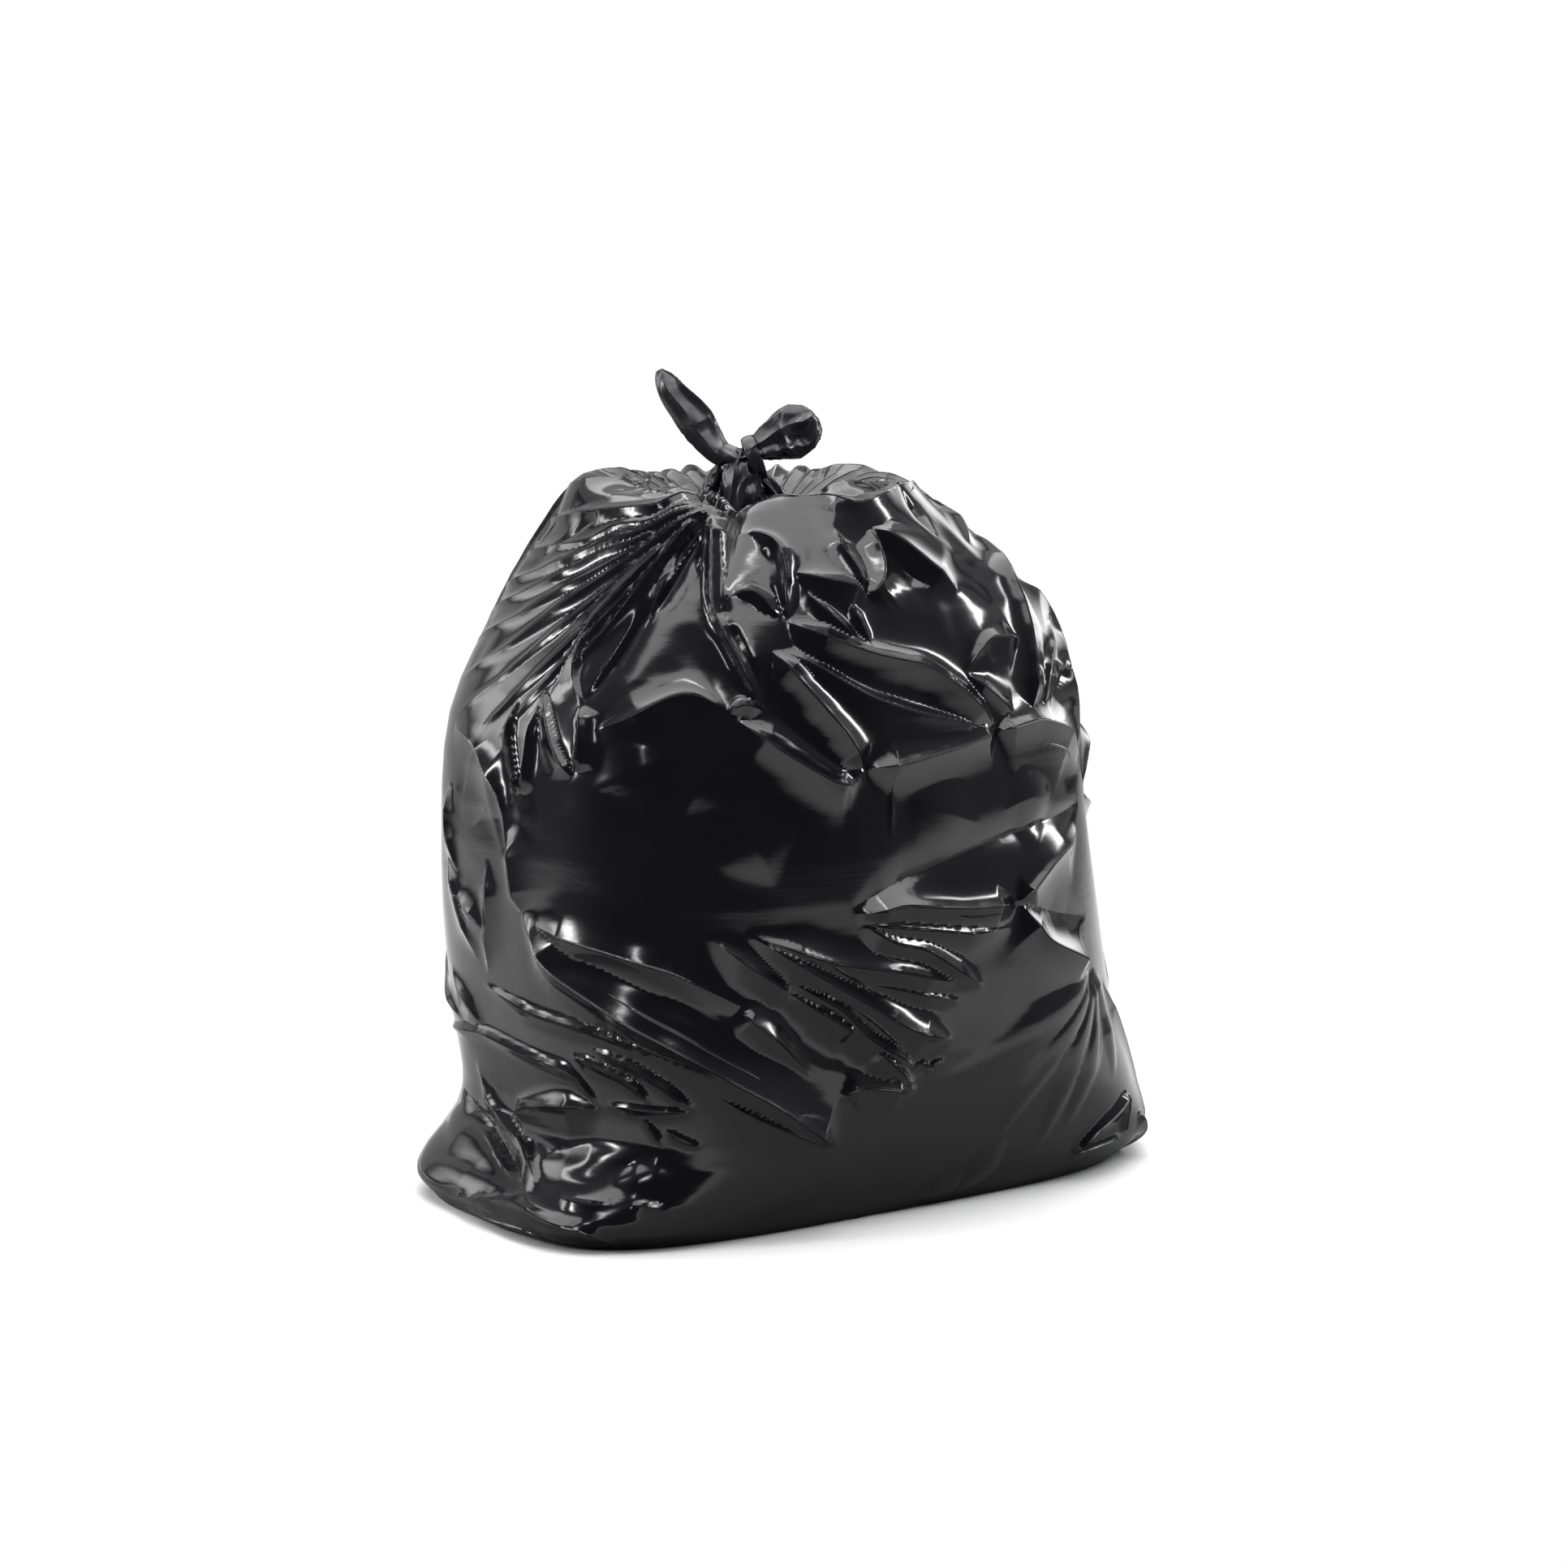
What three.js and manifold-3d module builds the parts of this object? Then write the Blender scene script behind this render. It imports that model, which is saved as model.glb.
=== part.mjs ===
// A full, tied bin bag standing on its base.
// One tube of film, sealed across the bottom, filled, gathered at the mouth and tied in its own two ears.
// Millimetres, +Z up, X along the wide side, -Y the front.
// The origin is on the floor, in the middle of the bag's outline seen from above.

import * as THREE from "three";
import { LoftGeometry } from "three/addons/geometries/LoftGeometry.js";
import { mergeVertices } from "three/addons/utils/BufferGeometryUtils.js";
import Module from "manifold-3d";

// Driving dimensions

// Levels of the filled sack from the floor to the throat. Each is a rounded rectangle:
// squareness 2 is an ellipse, and a higher value fills the corners. Shift moves its middle along X,
// because the slack corner at the left end of the base lies further out on the floor.
const LEVELS = {
  base: { height: 0, width: 516, depth: 290, squareness: 3.8, shift: -12 },
  foot: { height: 20, width: 546, depth: 316, squareness: 4.2, shift: -5 },
  ankle: { height: 66, width: 490, depth: 354, squareness: 3.6, shift: 12 },
  lower_belly: { height: 130, width: 486, depth: 380, squareness: 2.9, shift: 5 },
  belly: { height: 245, width: 480, depth: 390, squareness: 2.6, shift: 0 },
  upper_belly: { height: 352, width: 464, depth: 378, squareness: 2.5, shift: 6 },
  shoulder: { height: 430, width: 398, depth: 340, squareness: 2.4, shift: 17 },
  brow: { height: 488, width: 298, depth: 276, squareness: 2.3, shift: 9 },
  crown: { height: 519, width: 226, depth: 210, squareness: 2.1, shift: 0 },
  throat: { height: 496, width: 100, depth: 96, squareness: 2.0, shift: 0 },
};

// The sack leans: the throat stands off the middle of the base by this much, before each level's shift.
const LEAN = { x: -34, y: 18 };

// Pleats that run from the throat over the crown, and slack folds that slant down the sides.
const PLEATS = { count: 14, depth: 7, peak_height: 500, reach: 70 };
const SLACK_FOLDS = { count: 6, depth: 3.5, slant_turns: 0.16, peak_height: 150, reach: 120 };

// The gathered mouth: a pleated stalk that swells into the knot.
const NECK_DIAMETER = 42;
const NECK_SINK = 22; // how far the stalk starts below the throat
const COLLAR_DIAMETER = 47;
const COLLAR_HEIGHT = 17; // above the throat
const WAIST_DIAMETER = 36;
const WAIST_HEIGHT = 29;
const KNOT_DIAMETER = 44;
const KNOT_HEIGHT = 43;
const KNOT_TOP_DIAMETER = 26;
const KNOT_TOP_HEIGHT = 55;
const STALK_PLEATS = { count: 9, depth: 1.6 };

// The turn of film that goes round the knot, on the slant.
const TURN_THICKNESS = 15;
const TURN_SLANT = THREE.MathUtils.degToRad(28);

// The two ears that were tied, one long and flat, one short and plump.
// Bearing is round +Z from +X, rise is above the horizon, and roll turns the leaf about its own length.
const EARS = [
  { bearing: 145, rise: 46, roll: 78, length: 84, width: 36, thickness: 14, curl: -5, bluntness: 0.1 },
  { bearing: -35, rise: 26, roll: 70, length: 57, width: 41, thickness: 24, curl: 4, bluntness: 0.2 },
];
const EAR_ROOT_DIAMETER = 26;
const EAR_ROOT_FULLNESS = 0.2; // share of the swelling curve at which an ear leaves the knot
const EAR_ROOT_SHARE = 0.4; // share of an ear's length over which it takes on its full width

// How finely the film is faceted.
const SACK_SEGMENTS = 84;
const SACK_RINGS = 34;
const STALK_SEGMENTS = 36;
const STALK_RINGS = 14;
const TURN_SEGMENTS = { tube: 10, round: 28 };
const EAR_SEGMENTS = 16;
const EAR_RINGS = 12;

// Colour and finish of the black film
const FILM_COLOUR = 0x0b0b0d;
const FILM_ROUGHNESS = 0.22;

const THROAT_HEIGHT = LEVELS.throat.height;
const FULL_TURN = Math.PI * 2;
const MERGE_DISTANCE = 1e-3; // vertices nearer than this are one

const wasm = await Module();
wasm.setup();

// A closed three.js geometry as a solid that can be joined.
function toSolid(geometry) {
  const bare = new THREE.BufferGeometry();
  bare.setAttribute("position", geometry.attributes.position);
  bare.setIndex(geometry.index);
  const merged = mergeVertices(bare, MERGE_DISTANCE);
  return new wasm.Manifold(
    new wasm.Mesh({
      numProp: 3,
      vertProperties: new Float32Array(merged.attributes.position.array),
      triVerts: new Uint32Array(merged.index.array),
    }),
  );
}

// A joined solid as a three.js geometry.
function toGeometry(solid) {
  const mesh = solid.getMesh();
  const geometry = new THREE.BufferGeometry();
  geometry.setAttribute("position", new THREE.Float32BufferAttribute(mesh.vertProperties, 3));
  geometry.setIndex(new THREE.Uint32BufferAttribute(mesh.triVerts, 1));
  geometry.computeVertexNormals();
  return geometry;
}

// 1 at the peak, falling smoothly to 0 at the reach on either side.
function swell(value, peak, reach) {
  const distance = Math.min(1, Math.abs(value - peak) / reach);
  return 0.5 * (1 + Math.cos(Math.PI * distance));
}

// A point of a rounded rectangle at an angle round +Z.
function roundedRectangle(angle, width, depth, squareness) {
  const cosine = Math.cos(angle);
  const sine = Math.sin(angle);
  const power = 2 / squareness;
  return new THREE.Vector2(
    (width / 2) * Math.sign(cosine) * Math.abs(cosine) ** power,
    (depth / 2) * Math.sign(sine) * Math.abs(sine) ** power,
  );
}

// A loft through rings, closed by drawing its first and last ring together to their middles.
function closedLoft(rings) {
  const drawnTogether = (ring) => {
    const middle = ring.reduce((sum, point) => sum.add(point), new THREE.Vector3()).divideScalar(ring.length);
    return ring.map(() => middle.clone());
  };
  return new LoftGeometry([drawnTogether(rings.at(0)), ...rings, drawnTogether(rings.at(-1))]);
}

// The angles of a ring's points.
function ringAngles(count) {
  return Array.from({ length: count }, (_, i) => (i / count) * FULL_TURN);
}

// The filled sack: smooth curves through the levels, with the lean, the pleats and the slack folds added.
function sackGeometry() {
  const levels = Object.values(LEVELS);
  const sizes = new THREE.CatmullRomCurve3(
    levels.map((level) => new THREE.Vector3(level.width, level.depth, level.height)),
    false,
    "centripetal",
  );
  const forms = new THREE.CatmullRomCurve3(
    levels.map((level) => new THREE.Vector3(level.squareness, level.shift, 0)),
    false,
    "catmullrom",
  );
  const rings = [];
  for (let i = 0; i <= SACK_RINGS; i++) {
    const along = i / SACK_RINGS;
    const size = sizes.getPoint(along);
    const form = forms.getPoint(along);
    const height = i === 0 ? LEVELS.base.height : Math.max(size.z, LEVELS.base.height);
    const lean = height / THROAT_HEIGHT;
    const middle = new THREE.Vector2(form.y + LEAN.x * lean, LEAN.y * lean);
    rings.push(
      ringAngles(SACK_SEGMENTS).map((angle) => {
        const slant = SLACK_FOLDS.slant_turns * FULL_TURN * (height / SLACK_FOLDS.reach);
        const slack =
          SLACK_FOLDS.depth *
          Math.cos(SLACK_FOLDS.count * angle + slant) *
          swell(height, SLACK_FOLDS.peak_height, SLACK_FOLDS.reach);
        const pleat =
          PLEATS.depth *
          Math.cos(PLEATS.count * angle) *
          swell(height, PLEATS.peak_height, PLEATS.reach);
        const point = roundedRectangle(angle, size.x, size.y, form.x);
        point.setLength(point.length() + slack).add(middle);
        return new THREE.Vector3(point.x, point.y, height + pleat);
      }),
    );
  }
  return closedLoft(rings);
}

// The stalk of gathered film, from inside the crown up through the knot.
function stalkGeometry() {
  const profile = new THREE.SplineCurve([
    new THREE.Vector2(NECK_DIAMETER / 2, -NECK_SINK),
    new THREE.Vector2(NECK_DIAMETER / 2, 0),
    new THREE.Vector2(COLLAR_DIAMETER / 2, COLLAR_HEIGHT),
    new THREE.Vector2(WAIST_DIAMETER / 2, WAIST_HEIGHT),
    new THREE.Vector2(KNOT_DIAMETER / 2, KNOT_HEIGHT),
    new THREE.Vector2(KNOT_TOP_DIAMETER / 2, KNOT_TOP_HEIGHT),
  ]);
  const rings = profile.getPoints(STALK_RINGS).map((station) =>
    ringAngles(STALK_SEGMENTS).map((angle) => {
      const radius = station.x + STALK_PLEATS.depth * Math.cos(STALK_PLEATS.count * angle);
      return new THREE.Vector3(radius * Math.cos(angle), radius * Math.sin(angle), station.y);
    }),
  );
  return closedLoft(rings);
}

// The slanting turn of film that locks the knot.
function turnGeometry() {
  const radius = WAIST_DIAMETER / 2;
  return new THREE.TorusGeometry(radius, TURN_THICKNESS / 2, TURN_SEGMENTS.tube, TURN_SEGMENTS.round)
    .rotateX(TURN_SLANT)
    .translate(0, 0, (WAIST_HEIGHT + KNOT_HEIGHT) / 2);
}

// One tied ear: a leaf that swells from its root, curls a little and ends in a blunt tip.
function earGeometry(ear) {
  const bearing = THREE.MathUtils.degToRad(ear.bearing);
  const rise = THREE.MathUtils.degToRad(ear.rise);
  const outward = new THREE.Vector3(Math.cos(bearing), Math.sin(bearing), 0);
  const along = outward.clone().multiplyScalar(Math.cos(rise)).setZ(Math.sin(rise));
  const level = new THREE.Vector3().crossVectors(new THREE.Vector3(0, 0, 1), outward);
  const across = level.applyAxisAngle(along, THREE.MathUtils.degToRad(ear.roll));
  const through = new THREE.Vector3().crossVectors(along, across);
  const rings = [];
  for (let i = 0; i <= EAR_RINGS; i++) {
    const share = i / EAR_RINGS;
    const fullness = Math.sin(Math.PI * THREE.MathUtils.lerp(EAR_ROOT_FULLNESS, 1 - ear.bluntness, share));
    const opened = Math.min(1, share / EAR_ROOT_SHARE);
    const width = THREE.MathUtils.lerp(EAR_ROOT_DIAMETER, ear.width, opened) * fullness;
    const thickness = THREE.MathUtils.lerp(EAR_ROOT_DIAMETER, ear.thickness, share) * fullness;
    const middle = along.clone().multiplyScalar(ear.length * share);
    middle.addScaledVector(across, ear.curl * Math.sin(Math.PI * share));
    rings.push(
      ringAngles(EAR_SEGMENTS).map((angle) =>
        middle
          .clone()
          .addScaledVector(across, -(width / 2) * Math.cos(angle))
          .addScaledVector(through, -(thickness / 2) * Math.sin(angle)),
      ),
    );
  }
  return closedLoft(rings).translate(0, 0, KNOT_HEIGHT);
}

// Everything is one piece of film, so the sack, stalk, turn and ears are joined into one solid.
function bagGeometry() {
  const knotPieces = [stalkGeometry(), turnGeometry(), ...EARS.map(earGeometry)];
  const bag = knotPieces
    .map((geometry) => toSolid(geometry.translate(LEAN.x, LEAN.y, THROAT_HEIGHT)))
    .reduce((joined, solid) => joined.add(solid), toSolid(sackGeometry()));
  const geometry = toGeometry(bag);
  geometry.computeBoundingBox();
  const middle = geometry.boundingBox.getCenter(new THREE.Vector3());
  return geometry.translate(-middle.x, -middle.y, 0);
}

const film = new THREE.MeshStandardMaterial({
  color: FILM_COLOUR,
  roughness: FILM_ROUGHNESS,
  metalness: 0,
});

const bag = new THREE.Mesh(bagGeometry(), film);
bag.name = "bin_bag";

const binBag = new THREE.Group();
binBag.add(bag);

export default binBag;
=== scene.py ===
"""A full, tied bin bag of glossy black film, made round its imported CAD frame.

The film is a lattice of lengths that hold their size. It starts on the CAD bag's form, with the creases that
the photograph shows and more length than the form needs, and settles into folds.
"""

import math
from collections import namedtuple

import bpy
import numpy as np
from bpy.props import FloatProperty, FloatVectorProperty, IntProperty, PointerProperty
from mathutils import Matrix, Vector
from mathutils.bvhtree import BVHTree
from mathutils.kdtree import KDTree


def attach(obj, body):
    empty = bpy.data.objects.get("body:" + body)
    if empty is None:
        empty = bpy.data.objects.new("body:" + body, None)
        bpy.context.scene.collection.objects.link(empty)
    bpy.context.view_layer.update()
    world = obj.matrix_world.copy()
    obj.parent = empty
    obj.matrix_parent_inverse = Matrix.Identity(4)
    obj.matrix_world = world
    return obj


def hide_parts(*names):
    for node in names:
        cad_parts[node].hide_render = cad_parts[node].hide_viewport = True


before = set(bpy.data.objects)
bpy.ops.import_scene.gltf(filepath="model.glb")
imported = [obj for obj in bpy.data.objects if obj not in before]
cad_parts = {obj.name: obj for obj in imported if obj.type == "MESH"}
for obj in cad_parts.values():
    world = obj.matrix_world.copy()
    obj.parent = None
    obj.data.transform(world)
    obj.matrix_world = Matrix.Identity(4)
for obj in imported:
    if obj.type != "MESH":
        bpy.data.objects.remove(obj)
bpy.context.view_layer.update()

bl_info = {
    "name": "Full bin bag",
    "version": (1, 0, 0),
    "blender": (4, 5, 0),
    "location": "View3D > Sidebar > Bin bag",
    "description": "Makes a tied bin bag of black film and its studio round a CAD frame",
    "category": "Add Mesh",
}

BAG_NODE = "bin_bag"
BAG_BODY = "root"
FILM_SLOT = "black_film"
MM = 0.001

# The photograph's camera
PHOTO_SIZE = 1932
EYE = Vector((-1.6664, -2.3798, 0.7511))
HEADING = math.radians(-35.06)
TILT = math.radians(8.94)
FOCAL_PIXELS = 4848
SENSOR = 36.0

# The lattice of film: columns round the bag and rows from the seal under it to the neck
COLUMNS = 768
ROWS = 449
CAST_COLUMNS = COLUMNS // 2
CAST_ROWS = ROWS // 2 + 1
NECK_ROWS = 18
SEAL_ROWS = 6
PANELS = 4
CROWN_ROW = 300
FACING_COLUMN = (HEADING - math.pi / 2) / math.tau * COLUMNS
BACK_COLUMN = (HEADING + math.pi / 2) / math.tau * COLUMNS

# A sharp crease. Its reach is for each unit of spread. Its sides are straight next to the crest, and then
# it flares. Below a fold on an upright side the film hangs further and fuller.
CREASE_REACH = 2.5
LEAST_SPREAD = 0.25
LEAST_SHARE = 0.001
ON_CREST = 0.0003
STRAIGHT_SIDE = 0.0032
FLARE = 3.4
HANG_REACH = 0.5
HANG_FLARE = 0.9
STEER_REACH = 2.2
LINE_REACH = 0.004
LINE_FADE = 0.25

# A crease that is this low and this wide is a soft dent or swell
SOFT_RISE = 3.0
SOFT_SPREAD = 7.0
SOFT_REACH = 1.8

# Triangles that turn from each other by much more than this don't share their shading
FACET_TURN = 0.25

# A crease is followed in fine steps. It fades where stronger creases lie beside much of a run of its points.
FINE_STEPS = 12
CORNER_ROUNDING = 4
BESIDE_STEPS = range(-2, 3)
RUN_LENGTH = 9
RUN_SHARE = 0.55
RUN_STEEPNESS = 5

# Lesser creases beside others: the least rise and points of the others, and their own lengths, offsets
# and rises
COMPANION_FROM = 5.5
COMPANION_POINTS = 20
COMPANION_LENGTHS = (0.35, 0.7)
COMPANION_OFFSETS = (3, 9)
COMPANION_RISES = (0.3, 0.6)
COMPANION_SPREAD = 0.6

# Creases of the hidden side that are mirrored from the photograph's
MIRRORED_POINTS = 9
MIRRORED_RISES = (0.7, 1.2)
MIRRORED_MOVES = (14, 16)
MIRRORED_LOWEST = 16
KNOT_ROWS = 160

# Pleats out from the knot: their rows in front, those added on the hidden side, and where that side starts
PLEAT_TOP = ROWS - 4
FRONT_PLEAT = 34
HIDDEN_PLEAT = 150
HIDDEN_LENGTHS = (0.55, 1.25)
HIDDEN_FROM = 0.42
HIDDEN_STEEPNESS = 6
PLEAT_DRIFT = 16
PLEAT_RISES = (3, 6.5)
FAN_GATHER = 70
FAN_PULL = 0.85

# Chance folds of the hidden side: their rows, their lengths, and their slopes at three rows
FOLD_ROWS = (90, 330)
FOLD_WIDTH = 0.2
FOLD_LENGTHS = (45, 110)
FOLD_RISES = (4, 9)
FOLD_SPREADS = (6, 12)
SLOPE_ROWS = (110, 200, 320)
SLOPES = (12, 35, 72)
SLOPE_CHANCE = 9
BEND_CHANCE = 0.06

# The way that folds run where no crease is near: upright over the crown, slanting below it
UPRIGHT_FROM = 0.34
UPRIGHT_OVER = 0.10
SLANT = math.radians(-28)
SLANT_STRENGTH = 0.04
UPRIGHT_STRENGTH = 0.5

# The film settles coarse to fine: the stride over the lattice, steps, resistance to bending and share of
# spare film
SETTLING = ((8, 120, 0.14, 1.0), (4, 60, 0.14, 0.5), (2, 30, 0.16, 0.1))
SPARE_FROM = 0.36
SPARE_OVER = 0.06
FLOOR_OVER = 0.03
RING_REACH = 0.30
LEAST_REACH = 0.003
BELLY_UNREST = 0.15
KEEP_STEEPNESS = 1.5

# Rays that find the CAD bag's form start on a spine inside it
SPINE_LOW = 0.11
SPINE_HIGH = 0.36
STEEPEST_DOWN = math.radians(-80)
STEEPEST_UP = math.radians(76)
SPINE_SHARES = (0, 0.33, 0.67, 1)
TRIAL_ROWS = 400
TRIAL_STEP = 16
STALK_LEVELS = (0.530, 0.538)

# The CAD bag's waves that the film's form keeps round the belly and round the crown, and where the crown
# starts
BELLY_WAVES = 34
CROWN_WAVES = 7
CROWN_FROM = 0.40
CROWN_OVER = 0.08

# The seal's share of the base's width, how the throat is drawn in and lifted, and the film that closes it
SEAL_WIDTH = 0.9
NECK_NARROWING = 0.52
NECK_LIFT = 0.020
NECK_CAP = 0.004

# A pixel beside the bag is taken to be this much nearer than the frame's origin
BESIDE_BAG = 0.05

Crease = namedtuple("Crease", "route rise left right start finish", defaults=(0.25, 0.25))


def smooth(value):
    """A step from 0 to 1 that starts and ends level."""
    value = np.clip(value, 0, 1)
    return value * value * (3 - 2 * value)


def unit(vectors):
    """Vectors of length 1 in the same directions."""
    return vectors / np.maximum(np.linalg.norm(vectors, axis=-1, keepdims=True), 1e-9)


def dots(first, second):
    """The dot product of each pair of vectors."""
    return np.einsum("ij,ij->i", first, second)


class PhotoCamera:
    """The photograph's camera, and the ray through each of its pixels."""

    def __init__(self):
        level = math.cos(TILT)
        self.ahead = Vector((-math.sin(HEADING) * level, math.cos(HEADING) * level, -math.sin(TILT)))
        self.right = Vector((math.cos(HEADING), math.sin(HEADING), 0))
        self.up = self.right.cross(self.ahead)

    def ray(self, pixel):
        """The direction from the eye through a pixel."""
        across = (pixel[0] - PHOTO_SIZE / 2) / FOCAL_PIXELS
        down = (pixel[1] - PHOTO_SIZE / 2) / FOCAL_PIXELS
        return (self.ahead + self.right * across - self.up * down).normalized()

    def beside(self, pixel, middle, toward):
        """The point that a pixel shows at the distance of another point, or that much nearer to the eye."""
        direction = self.ray(pixel)
        return EYE + direction * ((middle - EYE).dot(self.ahead) / direction.dot(self.ahead) - toward)


def neck_middle():
    """The middle of the CAD bag's stalk."""
    corners = [vertex.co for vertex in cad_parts[BAG_NODE].data.vertices]
    stalk = [co for co in corners if STALK_LEVELS[0] < co.z < STALK_LEVELS[1]]
    return sum(stalk, Vector()) / len(stalk)


class BagForm:
    """The CAD bag's surface as a grid of points, with its normals and the directions round and up it."""

    def __init__(self):
        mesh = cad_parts[BAG_NODE].data
        corners = [vertex.co.copy() for vertex in mesh.vertices]
        self.tree = BVHTree.FromPolygons(corners, [list(face.vertices) for face in mesh.polygons])
        self.neck = neck_middle()
        self.angles = np.arange(CAST_COLUMNS) / CAST_COLUMNS * math.tau
        self.points = doubled(self.make_points())
        self.measure()
        self.finder = KDTree(CAST_ROWS * CAST_COLUMNS)
        for index, point in enumerate(self.points[::2, ::2].reshape(-1, 3)):
            self.finder.insert(point, index)
        self.finder.balance()

    def spine(self, height):
        """A point of the leaning line from the middle of the base to the neck."""
        share = height / self.neck.z
        return Vector((self.neck.x * share, self.neck.y * share, height))

    def cast(self, share, angle):
        """The bag's surface at a share of the way from under the base to the throat."""
        height = np.interp(share, SPINE_SHARES, (SPINE_LOW, SPINE_LOW, SPINE_HIGH, SPINE_HIGH))
        polar = np.interp(share, SPINE_SHARES, (STEEPEST_DOWN, 0, 0, STEEPEST_UP))
        level = math.cos(polar)
        direction = Vector((level * math.cos(angle), level * math.sin(angle), math.sin(polar)))
        hit = self.tree.ray_cast(self.spine(float(height)), direction)[0]
        if hit is None:
            raise RuntimeError("a ray from inside the bag found no surface")
        return hit

    def even_shares(self, count):
        """Shares whose rows are evenly spaced up the bag, on average."""
        shares = np.linspace(0, 1, TRIAL_ROWS)
        trial = np.array([[self.cast(s, a) for a in self.angles[::TRIAL_STEP]] for s in shares])
        steps = np.linalg.norm(np.diff(trial, axis=0), axis=-1).mean(axis=1)
        length = np.concatenate([[0], np.cumsum(steps)])
        return np.interp(np.linspace(0, length[-1], count), length, shares)

    def make_points(self):
        """The grid: the seal, the underside, the sides, the crown and the neck."""
        shares = self.even_shares(CAST_ROWS - NECK_ROWS)
        points = np.array([[self.cast(share, angle) for angle in self.angles] for share in shares])
        points = self.without_pleats(points)
        seal = points[SEAL_ROWS] * (SEAL_WIDTH, 0, 0)
        for row in range(SEAL_ROWS):
            share = row / SEAL_ROWS
            points[row] = seal * (1 - share) + points[SEAL_ROWS] * share
        return np.concatenate([points, self.neck_points(points[-1])])

    def without_pleats(self, points):
        """The rows without the CAD bag's own narrow pleats, which the film makes for itself."""
        waves = np.fft.rfft(points, axis=1)
        number = np.arange(waves.shape[1])
        crown = smooth((points[..., 2].mean(axis=1) - CROWN_FROM) / CROWN_OVER)
        most = BELLY_WAVES - (BELLY_WAVES - CROWN_WAVES) * crown
        keep = 1 - smooth((number[None, :] - most[:, None]) / most[:, None])
        return np.fft.irfft(waves * keep[..., None], n=CAST_COLUMNS, axis=1)

    def neck_points(self, throat):
        """Rows that draw the throat together and lift it into the knot."""
        rows = []
        middle = throat.mean(axis=0)
        for step in range(1, NECK_ROWS + 1):
            share = step / NECK_ROWS
            narrowing = 1 - smooth(share) * NECK_NARROWING
            centre = middle + (np.array(self.neck) - middle) * share
            rows.append(centre + (throat - middle) * narrowing)
            lifted = middle[2] + NECK_LIFT * share**1.5
            rows[-1][:, 2] = throat[:, 2] * (1 - share) + lifted * share
        return np.array(rows)

    def measure(self):
        """The directions round and up the bag, and outward from it."""
        around = np.roll(self.points, -1, axis=1) - np.roll(self.points, 1, axis=1)
        self.around = unit(around)
        upward = np.gradient(self.points, axis=0)
        self.normals = unit(np.cross(around, upward))
        self.normals[:SEAL_ROWS * 2 + 1] = (0, 0, -1)
        self.upward = unit(np.cross(self.normals, self.around))
        steps = np.linalg.norm(np.roll(self.points, -1, axis=1) - self.points, axis=-1)
        self.girths = steps.sum(axis=1)

    def place(self, camera, pixel):
        """The row and column of the grid that a pixel of the photograph shows."""
        direction = camera.ray(pixel)
        hit = self.tree.ray_cast(EYE, direction)[0]
        if hit is None:
            hit = EYE + direction * (EYE.length - BESIDE_BAG)
        row, column = divmod(self.finder.find(hit)[1], CAST_COLUMNS)
        return 2 * row, 2 * column


def grid_line(places):
    """The rows and columns along a smooth line through grid places."""
    rows = np.array([place[0] for place in places], float)
    columns = np.unwrap([place[1] for place in places], period=COLUMNS)
    steps = np.hypot(np.diff(rows), np.diff(columns))
    stations = np.concatenate([[0], np.cumsum(np.maximum(steps, 0.5))])
    fine = np.linspace(0, stations[-1], max(6, int(stations[-1] / 3)))
    return np.array([rounded_line(stations, values, fine) for values in (rows, columns)])


def companion_line(line, generator):
    """A shorter line beside another."""
    count = line.shape[1]
    length = max(3, int(count * generator.uniform(*COMPANION_LENGTHS)))
    first = int(generator.integers(0, count - length + 1))
    run = line[:, -1] - line[:, 0]
    across = np.array([-run[1], run[0]]) / max(np.hypot(*run), 1)
    offset = generator.choice((-1, 1)) * generator.uniform(*COMPANION_OFFSETS)
    return line[:, first:first + length] + across[:, None] * offset


def crease_lines(form, settings):
    """Every crease with its line on the grid: the photograph's, those of the hidden side, and lesser ones
    beside them. The strongest come first."""
    camera = PhotoCamera()
    generator = np.random.default_rng(settings.seed)
    lines = []
    for crease in (*PHOTO_CREASES.values(), *fan_pleats()):
        places = [form.place(camera, pixel) for pixel in crease.route]
        hidden = hidden_places(places, generator)
        line = grid_line(places)
        lines.append((crease, line))
        if generator.random() < settings.hidden and crease.rise > 0 and line.shape[1] > MIRRORED_POINTS:
            rise = crease.rise * generator.uniform(*MIRRORED_RISES)
            lines.append((crease._replace(rise=rise), grid_line(hidden)))
    lines += neck_pleats(settings.neck_pleats, form.place(camera, FAN_START), generator)
    lines += hidden_folds(settings.hidden_folds, generator)
    for crease, line in list(lines):
        strong = line.shape[1] > COMPANION_POINTS and crease.rise > COMPANION_FROM
        if generator.random() < settings.companions and strong and line[0].max() < CROWN_ROW:
            rise = crease.rise * generator.uniform(*COMPANION_RISES)
            left, right = crease.left * COMPANION_SPREAD, crease.right * COMPANION_SPREAD
            lesser = Crease((), rise, left, right, 0.35, 0.35)
            lines.append((lesser, companion_line(line, generator)))
    return sorted(lines, key=lambda pair: -abs(pair[0].rise))


def is_soft(crease):
    """Whether a crease is only a soft dent or swell, with no fold line."""
    return abs(crease.rise) <= SOFT_RISE and min(crease.left, crease.right) >= SOFT_SPREAD


def columns_from(column, other):
    """How many columns one is from another, the short way round the bag."""
    return (column - other + COLUMNS / 2) % COLUMNS - COLUMNS / 2


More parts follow.
